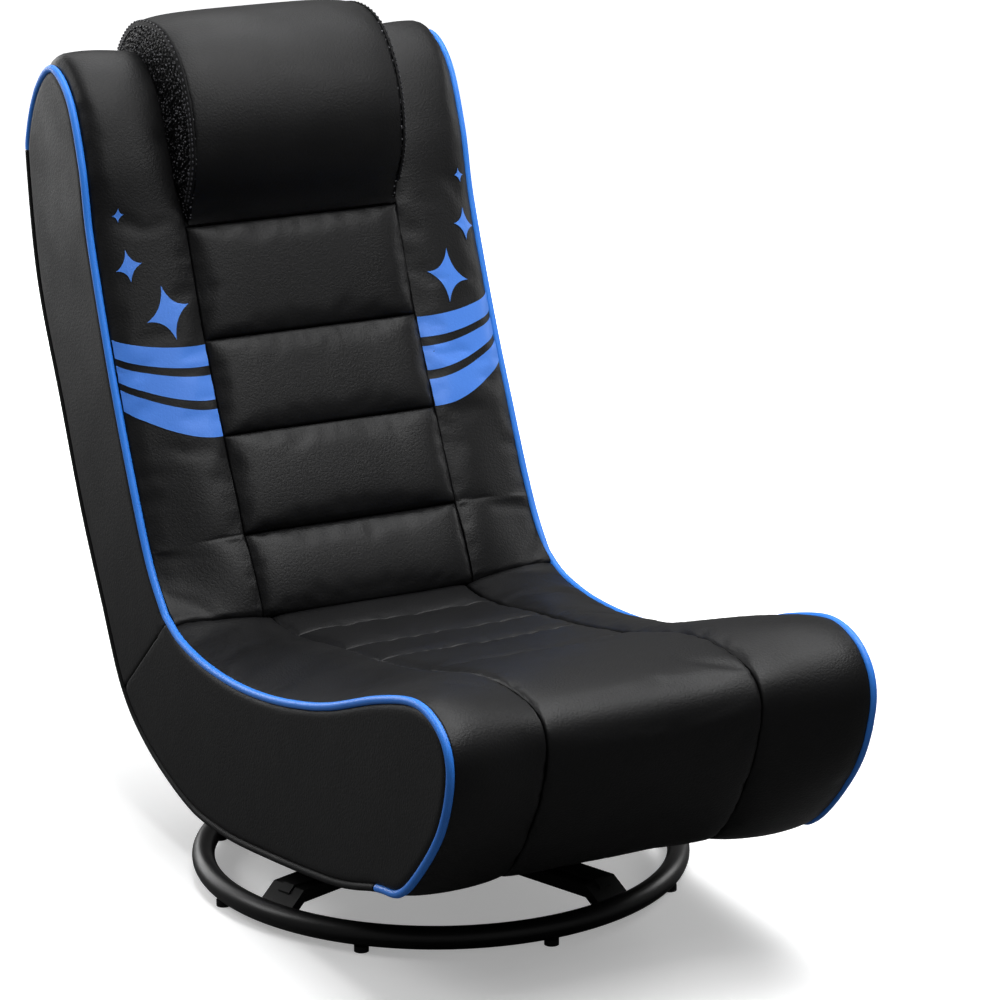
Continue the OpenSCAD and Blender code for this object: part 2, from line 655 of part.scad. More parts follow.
base_ring();
base_arms();
base_feet();
swivel_lower_plate();
swivel_balls();
swivel_cage();
swivel_rivet();
swivel_upper_plate();
swivel_spacers();
swivel_bolts();
swivel_nuts();
seat_frame();
seat_hinge_plates();
hinge_pins();
hinge_nuts();
hinge_washers();
seat_foam();
seat_centre_panel();
seat_front_roll();
seat_wing_left();
seat_wing_right();
seat_side_left();
seat_side_right();
seat_piping_left();
seat_piping_right();
seat_welt_left();
seat_welt_right();
seat_bottom_cover();
seat_end_cover();
crease_strip();
back_frame();
back_hinge_plates();
back_foam();
back_centre_panel();
back_top_panel();
back_bolster_left();
back_bolster_right();
back_side_left();
back_side_right();
back_piping_left();
back_piping_right();
back_welt_left();
back_welt_right();
back_rear_panel();
back_end_cover();
headrest_pillow();
headrest_gusset_left();
headrest_gusset_right();
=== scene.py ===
import math

import bmesh
import bpy
import numpy as np
from mathutils import Matrix, Vector
from mathutils.bvhtree import BVHTree
from mathutils.geometry import delaunay_2d_cdt


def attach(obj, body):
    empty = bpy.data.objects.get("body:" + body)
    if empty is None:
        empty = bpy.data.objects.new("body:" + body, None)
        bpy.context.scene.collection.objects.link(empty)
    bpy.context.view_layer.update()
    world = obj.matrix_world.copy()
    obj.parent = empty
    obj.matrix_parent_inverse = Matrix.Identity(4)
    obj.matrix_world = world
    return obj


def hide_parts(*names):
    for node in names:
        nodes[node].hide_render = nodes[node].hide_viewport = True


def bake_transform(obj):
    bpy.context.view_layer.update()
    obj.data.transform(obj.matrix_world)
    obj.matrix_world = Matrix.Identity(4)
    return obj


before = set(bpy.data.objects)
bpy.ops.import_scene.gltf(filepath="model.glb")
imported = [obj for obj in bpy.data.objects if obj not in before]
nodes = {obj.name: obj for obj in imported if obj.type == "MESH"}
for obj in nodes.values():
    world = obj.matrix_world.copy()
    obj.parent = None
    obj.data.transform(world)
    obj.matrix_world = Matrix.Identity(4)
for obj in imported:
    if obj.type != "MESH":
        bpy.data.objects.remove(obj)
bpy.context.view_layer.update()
scene = bpy.context.scene
print("frame loaded:", len(nodes), "nodes")

# camera, as the chair was photographed: from its front right, slightly above
cameraSetup = {
    # metres and degrees, the azimuth towards the sitter's right
    "aim": {"target": (0.0523, -0.0617, 0.3680), "azimuth": -27.04, "elevation": 16.49, "roll": -0.264,
            "distance": 4.079},
    "lens": 155.12,         # millimetres, as the sensor
    "sensor": 36,
    "farClip": 60,
}


def newObject(name, data):
    obj = bpy.data.objects.new(name, data)
    scene.collection.objects.link(obj)
    return obj


def aimedMatrix(target, azimuth, elevation, roll, distance):
    a, e, r = (math.radians(v) for v in (azimuth, elevation, roll))
    back = Vector((math.sin(a) * math.cos(e), -math.cos(a) * math.cos(e), math.sin(e)))
    right = (-back).cross(Vector((0, 0, 1))).normalized()
    up = right.cross(-back)
    turnedRight = right * math.cos(r) + up * math.sin(r)
    turnedUp = up * math.cos(r) - right * math.sin(r)
    columns = (turnedRight, turnedUp, back, Vector(target) + back * distance)
    return Matrix([[c[i] for c in columns] for i in range(3)] + [[0, 0, 0, 1]])


camera = newObject("camera", bpy.data.cameras.new("camera"))
camera.matrix_world = aimedMatrix(**cameraSetup["aim"])
camera.data.lens = cameraSetup["lens"]
camera.data.sensor_width = cameraSetup["sensor"]
camera.data.clip_end = cameraSetup["farClip"]
scene.camera = camera
scene.view_settings.view_transform = "Standard"

# The shape that every cover follows. Side outline, clockwise from the crease, in millimetres: distance behind
# the swivel axis, height, rise of the cover along its inner seam, depth of its padding, rise of the headrest.
outlineKnots = np.array([
    [184, 243, -5, 8, 0], [218, 285, 25, 28, 0], [264, 376, 25, 32, 0], [303, 466, 22, 32, 10],
    [342, 574, 20, 32, 22], [358, 645, 12, 32, 61], [387, 708, 8, 30, 65], [433, 732, 6, 23, 37],
    [476, 705, 4, 28, 26], [505, 655, 0, 24, 6], [508, 612, 0, 10, 0], [488, 500, 0, 10, 0],
    [437, 389, 0, 10, 0], [389, 285, 0, 10, 0], [342, 203, 0, 10, 0], [293, 123, 0, 10, 0],
    [229, 80, 0, 3, 0], [135, 52, 0, 3, 0], [62, 49, 0, 3, 0], [-21, 57, 0, 3, 0],
    [-200, 86, 0, 3, 0], [-293, 112, 0, 22, 0], [-340, 123, 0, 28, 0], [-379, 154, -4, 32, 0],
    [-423, 206, -14, 32, 0], [-443, 255, -18, 31, 0], [-440, 290, -18, 28, 0], [-414, 312, -14, 30, 0],
    [-371, 317, -10, 32, 0], [-300, 298, 5, 32, 0], [-200, 261, 16, 32, 0], [-130, 241, 21, 32, 0],
    [-60, 226, 24, 32, 0], [10, 217, 23, 32, 0], [80, 215, 13, 30, 0], [137, 221, 4, 18, 0],
    [168, 232, -4, 7, 0],
], float)
knotCount = len(outlineKnots)
topEnd, rearEnd, underEnd, rollEnd, crease, headrestStart = 9, 15, 21, 30, 36, 4
backStitched = np.array([0, 1, 2, 3, headrestStart], float)
seatStitched = np.array([rollEnd, 31.5, 32.625, 34.25, crease], float)

chair = {
    "swivelY": -35,
    "backSeamX": 114,       # inner seams of the backrest
    "seatSeamX": 106,       # inner seams of the seat
    "seamGap": 0.3,         # each cover stops this far from its seam
    "padX": 203.7,          # edge of the covers, under the piping
    "fullPadding": 20,      # padding this deep gives a cover its whole relief
    "sideX": 204,           # inner face of the side panels
    "sideThickness": 6.5,
    "cordX": 207.4,
    "cordRadius": 3.8,
    "hinge": (139, 216),
    "splitStart": (133, 232),
    "rearCorner": (258, 123),
    "knuckleRadius": 24,
}
backHalf, bolsterX = chair["backSeamX"] - chair["seamGap"], chair["backSeamX"] + chair["seamGap"]
seatHalf, wingX = chair["seatSeamX"] - chair["seamGap"], chair["seatSeamX"] + chair["seamGap"]
bothSides = (("Left", 1), ("Right", -1))

# the sitter's left side is stuffed fuller than the right one
fullerSide = {
    "startX": 40, "width": 150,
    # outline parameter, extra height at the side panel
    "gain": [[0, 9], [1, 12], [2, 12], [3, 9], [4, 5], [5, 2], [6, 0], [19, 0], [21, 1.5], [22, 5], [23, 6],
             [24, 5], [25, 5], [26, 8], [27, 11], [28, 12], [29, 12], [30, 9], [32, 6], [34, 6], [36, 8],
             [37, 9]],
}


def eased(t):
    return t * t * (3 - 2 * t)


def quarterRound(t):
    # rises steeply from 0 and ends level at 1
    return np.sqrt(1 - (1 - t) ** 2)


def sideGain(u, x):
    # extra height of the covers on the sitter's left, none at the middle
    share = np.clip((np.asarray(x, float) - fullerSide["startX"]) / fullerSide["width"], 0, 1)
    return np.interp(np.mod(u, knotCount), *np.array(fullerSide["gain"], float).T) * eased(share)


def knotsAround(u):
    # share of the way from one knot to the next, and the four knots around it
    u = np.asarray(u, float)
    i = np.floor(u).astype(int)
    return (u - i)[..., None], [outlineKnots[(i + k) % knotCount] for k in (-1, 0, 1, 2)]


def outlineAt(u):
    t, (a, b, c, d) = knotsAround(u)
    return 0.5 * (2 * b + (c - a) * t + (2 * a - 5 * b + 4 * c - d) * t**2 + (3 * b - a - 3 * c + d) * t**3)


def outwardAt(u):
    t, (a, b, c, d) = knotsAround(u)
    s = 0.5 * ((c - a) + 2 * (2 * a - 5 * b + 4 * c - d) * t + 3 * (3 * b - a - 3 * c + d) * t**2)[..., :2]
    s = s / np.linalg.norm(s, axis=-1, keepdims=True)
    return np.stack([-s[..., 1], s[..., 0]], -1)


def lifted(u, height):
    # points of the side view at a height above the outline
    spot = outlineAt(u)[..., :2] + outwardAt(u) * np.asarray(height, float)[..., None]
    return spot + (chair["swivelY"], 0)


def lengthAlong(line):
    return np.concatenate([[0], np.cumsum(np.linalg.norm(np.diff(line, axis=0), axis=1))])


def rowsAlong(start, end, step, stitched=()):
    # even rows along the outline, with close rows on both sides of each stitched line
    fine = np.linspace(start, end, 4000)
    length = lengthAlong(lifted(fine, np.zeros(len(fine))))
    places = np.linspace(0, length[-1], max(2, round(length[-1] / step)) + 1)
    close = np.array([0, 0.8, 1.7, 3, 4.8])
    for m in np.interp(stitched, fine, length) if len(stitched) else []:
        places = places[abs(places - m) > close[-1] + step * 0.5]
        places = np.concatenate([places, m + close, m - close])
    places = np.unique(np.clip(places, 0, length[-1]).round(3))
    return np.interp(places, length, fine)


def columnsAcross(start, end, step):
    # even columns, close together at both edges where the cover dives into its seam
    close = np.array([0, 0.35, 0.9, 1.8, 3.2, 5.2])
    margin = close[-1] + step * 0.6
    inner = np.linspace(start + margin, end - margin, max(2, round((end - start - 10) / step)))
    return np.concatenate([start + close, inner, (end - close)[::-1]])


def gridOf(us, xs):
    return np.meshgrid(us, xs, indexing="ij")


def ripple(t, period, seed):
    # smooth random line between -1 and 1
    table = np.random.default_rng(seed).uniform(-1, 1, 1024)
    p = np.asarray(t, float) / period + 500
    i = np.floor(p).astype(int)
    f = eased(p - i)
    return table[i % 1024] * (1 - f) + table[(i + 1) % 1024] * f


def fullness(u):
    k = outlineAt(u)
    return np.minimum(1, (k[..., 2] + k[..., 3]) / chair["fullPadding"])


bolster = {"crown": 5.0, "levelAt": 0.6, "turnStart": 0.84, "turnDepth": 2, "shoulder": 10}


def bolsterHeight(u, x, seamX, shoulder=0.0):
    # crowned between its seams, then turned down to the piping in a round shoulder
    v = np.clip((np.abs(x) - seamX) / (chair["padX"] - seamX), 0, 1)
    seam = outlineAt(u)[..., 2]
    swell = np.maximum(0, np.sin(np.pi * v)) ** 0.6 - bolster["levelAt"]
    top = seam + (shoulder - seam) * eased(v) + bolster["crown"] * fullness(u) * swell
    turn = np.clip((v - bolster["turnStart"]) / (1 - bolster["turnStart"]), 0, 1)
    return (top + bolster["turnDepth"]) * np.sqrt(1 - turn**2) - bolster["turnDepth"]


def backShoulder(u):
    return bolster["shoulder"] * fullness(u) * np.clip(np.minimum(u / 3, (topEnd - u) / 0.8), 0, 1)


def panelHeight(u, x, half, recess, rib, stitched, roll=11.0):
    # channels with a round edge along every stitched line and a nearly flat middle
    v = np.clip(np.abs(x) / half, 0, 1)
    k = np.clip(np.searchsorted(stitched, u, side="right") - 1, 0, len(stitched) - 2)
    share = (u - stitched[k]) / (stitched[k + 1] - stitched[k])
    ends = lifted(stitched, np.zeros(len(stitched)))
    length = np.linalg.norm(np.diff(ends, axis=0), axis=1)[k]
    edge = np.clip(np.minimum(share, 1 - share) * length / roll, 0, 1)
    channel = 0.85 * quarterRound(edge) + 0.15 * np.sin(np.pi * np.clip(share, 0, 1))
    rise = (rib * channel + 3) * np.sqrt(1 - v**6) - recess - 3
    return outlineAt(u)[..., 2] + fullness(u) * rise


# mesh tools
def meshPiece(name, points, faces, material, sharpAt=50):
    mesh = bpy.data.meshes.new(name)
    mesh.from_pydata((np.asarray(points, float) * 0.001).tolist(), [], faces)
    shape = bmesh.new()
    shape.from_mesh(mesh)
    bmesh.ops.recalc_face_normals(shape, faces=shape.faces)
    shape.to_mesh(mesh)
    shape.free()
    mesh.shade_smooth()
    mesh.set_sharp_from_angle(angle=math.radians(sharpAt))
    mesh.materials.append(material)
    return newObject(name, mesh)


def sheetFaces(rows, columns, start=0):
    i, j = np.meshgrid(np.arange(rows - 1), np.arange(columns - 1), indexing="ij")
    a = (start + i * columns + j).ravel()
    return np.stack([a, a + 1, a + columns + 1, a + columns], 1).tolist()


def paddedMesh(top, underLeft, underRight):
    # a closed cushion: top grid, one strip below it, walls on all four sides
    rows, columns = top.shape[:2]
    below = rows * columns
    under = np.stack([underLeft, underRight], 1).reshape(-1, 3)
    points = np.concatenate([top.reshape(-1, 3), under])
    faces = sheetFaces(rows, columns) + sheetFaces(rows, 2, below)
    last = columns - 1
    for i in range(rows - 1):
        faces.append([i * columns, (i + 1) * columns, below + 2 * i + 2, below + 2 * i])
        faces.append([i * columns + last, below + 2 * i + 1, below + 2 * i + 3, (i + 1) * columns + last])
    faces.append(list(range(columns)) + [below + 1, below])
    end = (rows - 1) * columns
    faces.append([end + j for j in range(columns)] + [below + 2 * rows - 1, below + 2 * rows - 2])
    return points, faces


def shellMesh(outer, inner):
    # a closed sheet between two grids of the same size
    rows, columns = outer.shape[:2]
    below = rows * columns
    points = np.concatenate([outer.reshape(-1, 3), inner.reshape(-1, 3)])
    faces = sheetFaces(rows, columns) + sheetFaces(rows, columns, below)
    rim = list(range(columns)) + [i * columns + columns - 1 for i in range(1, rows)]
    rim += [(rows - 1) * columns + j for j in range(columns - 2, -1, -1)]
    rim += [i * columns for i in range(rows - 2, 0, -1)]
    for a, b in zip(rim, rim[1:] + rim[:1]):
        faces.append([a, b, below + b, below + a])
    return points, faces


def surfacePoints(us, xs, heights):
    u = np.broadcast_to(us[:, None], heights.shape)
    yz = lifted(u, heights + sideGain(u, xs))
    return np.concatenate([np.broadcast_to(xs, heights.shape)[..., None], yz], -1)


def atX(x, yz):
    # points of the side view, moved sideways
    return np.concatenate([np.full((len(yz), 1), x), yz], 1)


def edgeCord(name, us, sign, material, slimmer=0.0, sides=14):
    # round cord along the edge of one side panel, sunk by its own radius
    x, radius = sign * chair["cordX"], chair["cordRadius"]
    centres = atX(x, lifted(us, sideGain(us, x) - radius))
    ups = atX(0, outwardAt(us))
    a = np.arange(sides) * 2 * np.pi / sides
    ring = centres[:, None, :] + (radius - slimmer) * (
        np.sin(a)[None, :, None] * np.array([1.0, 0, 0]) + np.cos(a)[None, :, None] * ups[:, None, :])
    faces = [[n + k, n + (k + 1) % sides, n + sides + (k + 1) % sides, n + sides + k]
             for n in range(0, (len(us) - 1) * sides, sides) for k in range(sides)]
    faces += [list(range(sides)), [(len(us) - 1) * sides + k for k in range(sides)]]
    return meshPiece(name, ring.reshape(-1, 3), faces, material)


def place(piece, body, node=None):
    # a piece rides on one body, or at the crease stays on neither, its transform applied
    if body == "crease":
        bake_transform(piece)
    else:
        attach(piece, body)
    if node:
        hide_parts(node)
    return piece


# cloth simulation of the covers
simulation = {
    "frames": 20,
    "pressure": 4.0,
    "growth": 0.006,        # spare cloth, as a share of its length
    "cap": 1.7,             # millimetres that a point may move
    "cloth": {"quality": 6, "mass": 0.4, "tension_stiffness": 25, "compression_stiffness": 25,
              "shear_stiffness": 10, "bending_stiffness": 2, "pin_stiffness": 1, "use_pressure": True},
}


def simulateCover(obj, stitched, pressure=1.0, cap=1.0):
    # the cover swells between its stitched lines, which stay where they are
    group = obj.vertex_groups.new(name="stitched")
    group.add([int(i) for i in stitched], 1.0, "REPLACE")
    start = np.zeros(len(obj.data.vertices) * 3)
    obj.data.vertices.foreach_get("co", start)
    cloth = obj.modifiers.new("cover", "CLOTH")
    for key, value in simulation["cloth"].items():
        setattr(cloth.settings, key, value)
    cloth.settings.vertex_group_mass = "stitched"
    cloth.settings.uniform_pressure_force = simulation["pressure"] * pressure
    cloth.settings.shrink_min = -simulation["growth"]
    cloth.settings.effector_weights.gravity = 0
    cloth.collision_settings.use_collision = False
    cloth.point_cache.frame_start = 1
    cloth.point_cache.frame_end = simulation["frames"]
    for f in range(1, simulation["frames"] + 1):
        scene.frame_set(f)
    result = obj.evaluated_get(bpy.context.evaluated_depsgraph_get()).to_mesh()
    end = np.zeros(len(start))
    result.vertices.foreach_get("co", end)
    obj.to_mesh_clear()
    obj.modifiers.remove(cloth)
    obj.vertex_groups.remove(group)
    scene.frame_set(1)
    move = (end - start).reshape(-1, 3)
    far = np.linalg.norm(move, axis=1, keepdims=True)
    limit = simulation["cap"] * cap * 0.001
    move *= limit * np.tanh(far / limit) / np.maximum(far, 1e-9)
    obj.data.vertices.foreach_set("co", start + move.ravel())
    obj.data.update()
    print("   simulated", obj.name, "moved up to %.1f mm" % (far.max() * 1000))


# materials
def linearColour(text):
    values = [int(text[i:i + 2], 16) / 255 for i in (1, 3, 5)]
    return [v / 12.92 if v <= 0.04045 else ((v + 0.055) / 1.055) ** 2.4 for v in values] + [1.0]


def addNode(tree, kind, settings=None, links=None):
    node = tree.nodes.new("ShaderNode" + kind)
    for key, value in (settings or {}).items():
        if isinstance(key, int) or key in node.inputs:
            node.inputs[key].default_value = value
        else:
            setattr(node, key, value)
    for key, source in (links or {}).items():
        tree.links.new(source, node.inputs[key])
    return node


def clearedTree(owner):
    owner.use_nodes = True
    owner.node_tree.nodes.clear()
    return owner.node_tree


def newMaterial(name, finish, look):
    # finish draws the patterns, and gives the shader's settings and links
    material = bpy.data.materials.new(name)
    tree = clearedTree(material)
    where = addNode(tree, "TexCoord").outputs["Object"]
    shader = addNode(tree, "BsdfPrincipled", *finish(tree, {"Vector": where}, look))
    addNode(tree, "OutputMaterial", links={"Surface": shader.outputs["BSDF"]})
    return material


def twoColours(look):
    # settings of a Mix node between two sRGB colours of the same stuff
    return {"data_type": "RGBA", 6: linearColour(look["dark"]), 7: linearColour(look["light"])}


def glossRange(look):
    # settings of a MapRange node that spreads the middle of a noise over the roughness
    return {"From Min": 0.3, "From Max": 0.7, "To Min": look["gloss"][0], "To Max": look["gloss"][1]}


def grainedLeather(tree, where, look):
    # coated fabric, its grain embossed by a roller: fine pebbles that break up a soft, wide highlight, drawn
    # coarser than the real ones so that they show
    grain = look["grain"] * 0.001
    cells = addNode(tree, "TexVoronoi", {"feature": "SMOOTH_F1", "Scale": 1 / grain, "Smoothness": 0.35,
                                         "Randomness": 0.9}, where)
    creases = addNode(tree, "TexVoronoi", {"feature": "DISTANCE_TO_EDGE", "Scale": 1 / (grain * 2.6)}, where)
    cloud = addNode(tree, "TexNoise", {"Scale": 14, "Detail": 3, "Roughness": 0.55}, where)
    fine = addNode(tree, "TexNoise", {"Scale": 420, "Detail": 2}, where)
    edge = addNode(tree, "MapRange", {"From Max": 0.25}, {"Value": creases.outputs["Distance"]})
    pebble = addNode(tree, "Math", {"operation": "MULTIPLY_ADD", 1: -1.0},
                     {0: cells.outputs["Distance"], 2: edge.outputs[0]})
    height = addNode(tree, "Math", {"operation": "MULTIPLY_ADD", 1: 0.5},
                     {0: fine.outputs["Fac"], 2: pebble.outputs[0]})
    bump = addNode(tree, "Bump", {"Strength": look["relief"], "Distance": grain * 0.12},
                   {"Height": height.outputs[0]})
    shade = addNode(tree, "Mix", {"data_type": "FLOAT", 0: 0.45},
                    {2: cloud.outputs["Fac"], 3: cells.outputs["Distance"]})
    colour = addNode(tree, "Mix", twoColours(look), {0: shade.outputs[0]})
    gloss = addNode(tree, "MapRange", glossRange(look), {"Value": cloud.outputs["Fac"]})
    return ({"IOR": 1.5, "Specular IOR Level": look["specular"]},
            {"Base Color": colour.outputs[2], "Roughness": gloss.outputs[0], "Normal": bump.outputs[0]})


# PU leather, embossed and calendered: near black, satin
blackLeather = newMaterial("blackPuLeatherEmbossed", grainedLeather, {
    "dark": "#070708", "light": "#0d0d0e", "grain": 1.6, "relief": 0.38, "gloss": (0.42, 0.52),
    "specular": 0.24})
# the same leather rolled flat on the side panels: a little duller
sideLeather = newMaterial("blackPuLeatherSides", grainedLeather, {
    "dark": "#070708", "light": "#0c0c0d", "grain": 1.8, "relief": 0.35, "gloss": (0.50, 0.60),
    "specular": 0.2})
# PU strip wrapped round a cord: the grain is stretched out, so it shines more
bluePiping = newMaterial("bluePuPiping", grainedLeather, {
    "dark": "#2a77dd", "light": "#3a8af0", "grain": 1.2, "relief": 0.25, "gloss": (0.38, 0.46),
    "specular": 0.35})
# the black strip round the lower cord is left matt
blackWelt = newMaterial("blackPuWelt", grainedLeather, {
    "dark": "#070708", "light": "#0e0e0f", "grain": 1.2, "relief": 0.25, "gloss": (0.58, 0.66),
    "specular": 0.15})
# transfer film pressed onto the leather: flat colour, the grain still shows through
blueFilm = newMaterial("bluePressedFilm", grainedLeather, {
    "dark": "#427cdb", "light": "#4c86e2", "grain": 1.6, "relief": 0.22, "gloss": (0.45, 0.52),
    "specular": 0.35})

waveTurn = 6.28     # a wave texture of scale 1 repeats after this many radians


def wovenLining(tree, where, look):
    # plain-woven polyester lining: matt, with a faint square thread pattern, drawn at 1.2 mm so that it shows
    waves = [addNode(tree, "TexWave", {"bands_direction": axis, "Scale": 1 / look["thread"] / waveTurn,
                                       "Distortion": 0.4}, where).outputs["Fac"] for axis in "XYZ"]
    pair = addNode(tree, "Math", {"operation": "MULTIPLY"}, {0: waves[0], 1: waves[1]})
    both = addNode(tree, "Math", {"operation": "MAXIMUM"}, {0: pair.outputs[0], 1: waves[2]})
    cloud = addNode(tree, "TexNoise", {"Scale": 30, "Detail": 4}, where)
    bump = addNode(tree, "Bump", {"Strength": 0.5, "Distance": 0.0003}, {"Height": both.outputs[0]})
    colour = addNode(tree, "Mix", twoColours(look), {0: cloud.outputs["Fac"]})
    dull = addNode(tree, "MapRange", {"To Min": 0.85, "To Max": 0.95}, {"Value": both.outputs[0]})
    return ({"Sheen Weight": 0.15, "Sheen Roughness": 0.5},
            {"Base Color": colour.outputs[2], "Roughness": dull.outputs[0], "Normal": bump.outputs[0]})


liningCloth = newMaterial("blackWovenLining", wovenLining, {
    "dark": "#09090a", "light": "#131314", "thread": 0.0012})


def knittedMesh(tree, where, look):
    # warp-knitted black polyester: matt yarn, its small loops painted pale between dark holes as painted
    # glints, drawn at 3.4 mm so that they show
    loops = addNode(tree, "TexVoronoi", {"Scale": 1 / look["loop"], "Randomness": 0.8}, where)
    yarn = addNode(tree, "TexNoise", {"Scale": 900, "Detail": 3}, where)
    loopHeightAndGlint = addNode(tree, "MapRange", {"From Min": 0.08, "From Max": 0.38, "To Min": 1, "To Max": 0},
                    {"Value": loops.outputs["Distance"]})
    bump = addNode(tree, "Bump", {"Strength": 0.9, "Distance": 0.0007}, {"Height": loopHeightAndGlint.outputs[0]})
    # painted glint: the colour turns pale where the loops stand
    both = addNode(tree, "Math", {"operation": "MULTIPLY"}, {0: loopHeightAndGlint.outputs[0], 1: yarn.outputs["Fac"]})
    colour = addNode(tree, "Mix", twoColours(look), {0: both.outputs[0]})
    rough = addNode(tree, "MapRange", {"To Min": 0.3, "To Max": 0.55}, {"Value": yarn.outputs["Fac"]})
    return ({"Specular IOR Level": 0.1},
            {"Base Color": colour.outputs[2], "Roughness": rough.outputs[0], "Normal": bump.outputs[0]})


# black yarn; the pale colour is the loops' painted glint
spacerMesh = newMaterial("blackKnittedSpacerMesh", knittedMesh, {
    "dark": "#020203", "light": "#b4b4ba", "loop": 0.0034})


def twistedThread(tree, where, look):
    # bonded black polyester thread, two plies twisted: a slight shine along each stitch, painted lighter
    # along the twist as painted sheen
    twistAndSheen = addNode(tree, "TexWave", {"bands_direction": "DIAGONAL", "Scale": 1 / look["ply"] / waveTurn},
                    where)
    bump = addNode(tree, "Bump", {"Strength": 0.5, "Distance": 0.0001}, {"Height": twistAndSheen.outputs["Fac"]})
    colour = addNode(tree, "Mix", twoColours(look), {0: twistAndSheen.outputs["Fac"]})
    return {"Roughness": 0.5}, {"Base Color": colour.outputs[2], "Normal": bump.outputs[0]}


# black thread; its light colour is painted sheen along the twist
blackThread = newMaterial("blackPolyesterThread", twistedThread, {
    "dark": "#141416", "light": "#3c3c42", "ply": 0.0009})


def coatedSteel(tree, where, look):
    # powder coat baked onto steel, or moulded plastic: fine orange peel, soft satin glints
    peel = addNode(tree, "TexNoise", {"Scale": 1 / 0.0016, "Detail": 2}, where)
    cloud = addNode(tree, "TexNoise", {"Scale": 25, "Detail": 4}, where)
    bump = addNode(tree, "Bump", {"Strength": 0.18, "Distance": 0.0002}, {"Height": peel.outputs["Fac"]})
    colour = addNode(tree, "Mix", twoColours(look), {0: cloud.outputs["Fac"]})
    gloss = addNode(tree, "MapRange", glossRange(look), {"Value": cloud.outputs["Fac"]})
    return ({"Specular IOR Level": 0.3, "Coat Weight": look["coat"], "Coat Roughness": 0.3},
            {"Base Color": colour.outputs[2], "Roughness": gloss.outputs[0], "Normal": bump.outputs[0]})


# the same powder coat as on the tube, painted darker on the flat pressed arms as painted shade, and duller
armCoatPaintedShade = newMaterial("blackPowderCoatArmsPaintedShade", coatedSteel, {
    "dark": "#070708", "light": "#0d0d0e", "gloss": (0.62, 0.7), "coat": 0.0})
# on the bent tube it flowed out smooth, and shines a little along the top
baseCoat = newMaterial("blackPowderCoat", coatedSteel, {
    "dark": "#0b0b0c", "light": "#121213", "gloss": (0.34, 0.44), "coat": 0.1})
# dipped frame tube: thin paint, greyer
frameCoat = newMaterial("blackFramePaint", coatedSteel, {
    "dark": "#101011", "light": "#1c1c1d", "gloss": (0.5, 0.6), "coat": 0.0})
# moulded plugs: an even satin black
footPlastic = newMaterial("blackMouldedPolypropylene", coatedSteel, {
    "dark": "#0d0d0e", "light": "#151516", "gloss": (0.45, 0.55), "coat": 0.0})


def bareMetal(tree, where, look):
    # plated or rolled metal: tight highlights, faint rolling streaks along y
    stretch = addNode(tree, "Mapping", {"Scale": (900, 40, 900)}, where)
    streaks = addNode(tree, "TexNoise", {"Scale": 1, "Detail": 3}, {"Vector": stretch.outputs[0]})
    colour = addNode(tree, "Mix", twoColours(look), {0: streaks.outputs["Fac"]})
    gloss = addNode(tree, "MapRange", {"To Min": look["gloss"][0], "To Max": look["gloss"][1]},
                    {"Value": streaks.outputs["Fac"]})
    return {"Metallic": 1}, {"Base Color": colour.outputs[2], "Roughness": gloss.outputs[0]}


# zinc plated, then passivated: bright grey
zincSteel = newMaterial("zincPlatedSteel", bareMetal, {
    "dark": "#9fa3a8", "light": "#c8ccd0", "gloss": (0.30, 0.44)})
# brass as rolled, warm yellow, a little smoother
rolledBrass = newMaterial("rolledBrass", bareMetal, {
    "dark": "#b08a3c", "light": "#d0ac5c", "gloss": (0.24, 0.38)})


def plainPolymer(tree, where, look):
    # nylon or foam: soft even colour, each small pore pale at its middle and darker towards its rim
    pores = addNode(tree, "TexVoronoi", {"Scale": 1 / look["pore"]}, where)
    bump = addNode(tree, "Bump", {"Strength": look["relief"], "Distance": look["pore"] * 0.5},
                   {"Height": pores.outputs["Distance"]})
    colour = addNode(tree, "Mix", {"data_type": "RGBA", 6: linearColour(look["light"]),
                                   7: linearColour(look["dark"])}, {0: pores.outputs["Distance"]})
    return {"Roughness": look["roughness"]}, {"Base Color": colour.outputs[2], "Normal": bump.outputs[0]}


# turned washers: off-white, barely any relief
washerNylon = newMaterial("whiteTurnedNylon", plainPolymer, {
    "dark": "#d8d5ca", "light": "#eeece4", "pore": 0.002, "roughness": 0.45, "relief": 0.05})
# slab foam, cut: open pores, quite matt
paddingFoam = newMaterial("yellowSlabFoam", plainPolymer, {
    "dark": "#a8925a", "light": "#e2cf98", "pore": 0.0016, "roughness": 0.95, "relief": 0.6})

nodesOfFinish = (
    (baseCoat, ("base_ring",)), (armCoatPaintedShade, ("base_arms",)), (footPlastic, ("base_feet",)),
    (zincSteel, ("swivel_lower_plate", "swivel_upper_plate", "swivel_balls", "swivel_rivet", "swivel_spacers",
                 "swivel_bolts", "swivel_nuts", "hinge_pins", "hinge_nuts")),
    (rolledBrass, ("swivel_cage",)), (washerNylon, ("hinge_washers",)),
    (frameCoat, ("seat_frame", "back_frame", "seat_hinge_plates", "back_hinge_plates")),
)
for material, names in nodesOfFinish:
    for materialSlot in (s for name in names for s in nodes[name].material_slots):
        materialSlot.material = material
print("materials made:", len(bpy.data.materials))

# foam blocks inside the covers, in the shape of their solids
for part, body in (("seat", "seat"), ("back", "backrest")):
    block = newObject(part + "FoamBlock", nodes[part + "_foam"].data.copy())
    block.data.materials.clear()
    block.data.materials.append(paddingFoam)
    place(block, body, part + "_foam")

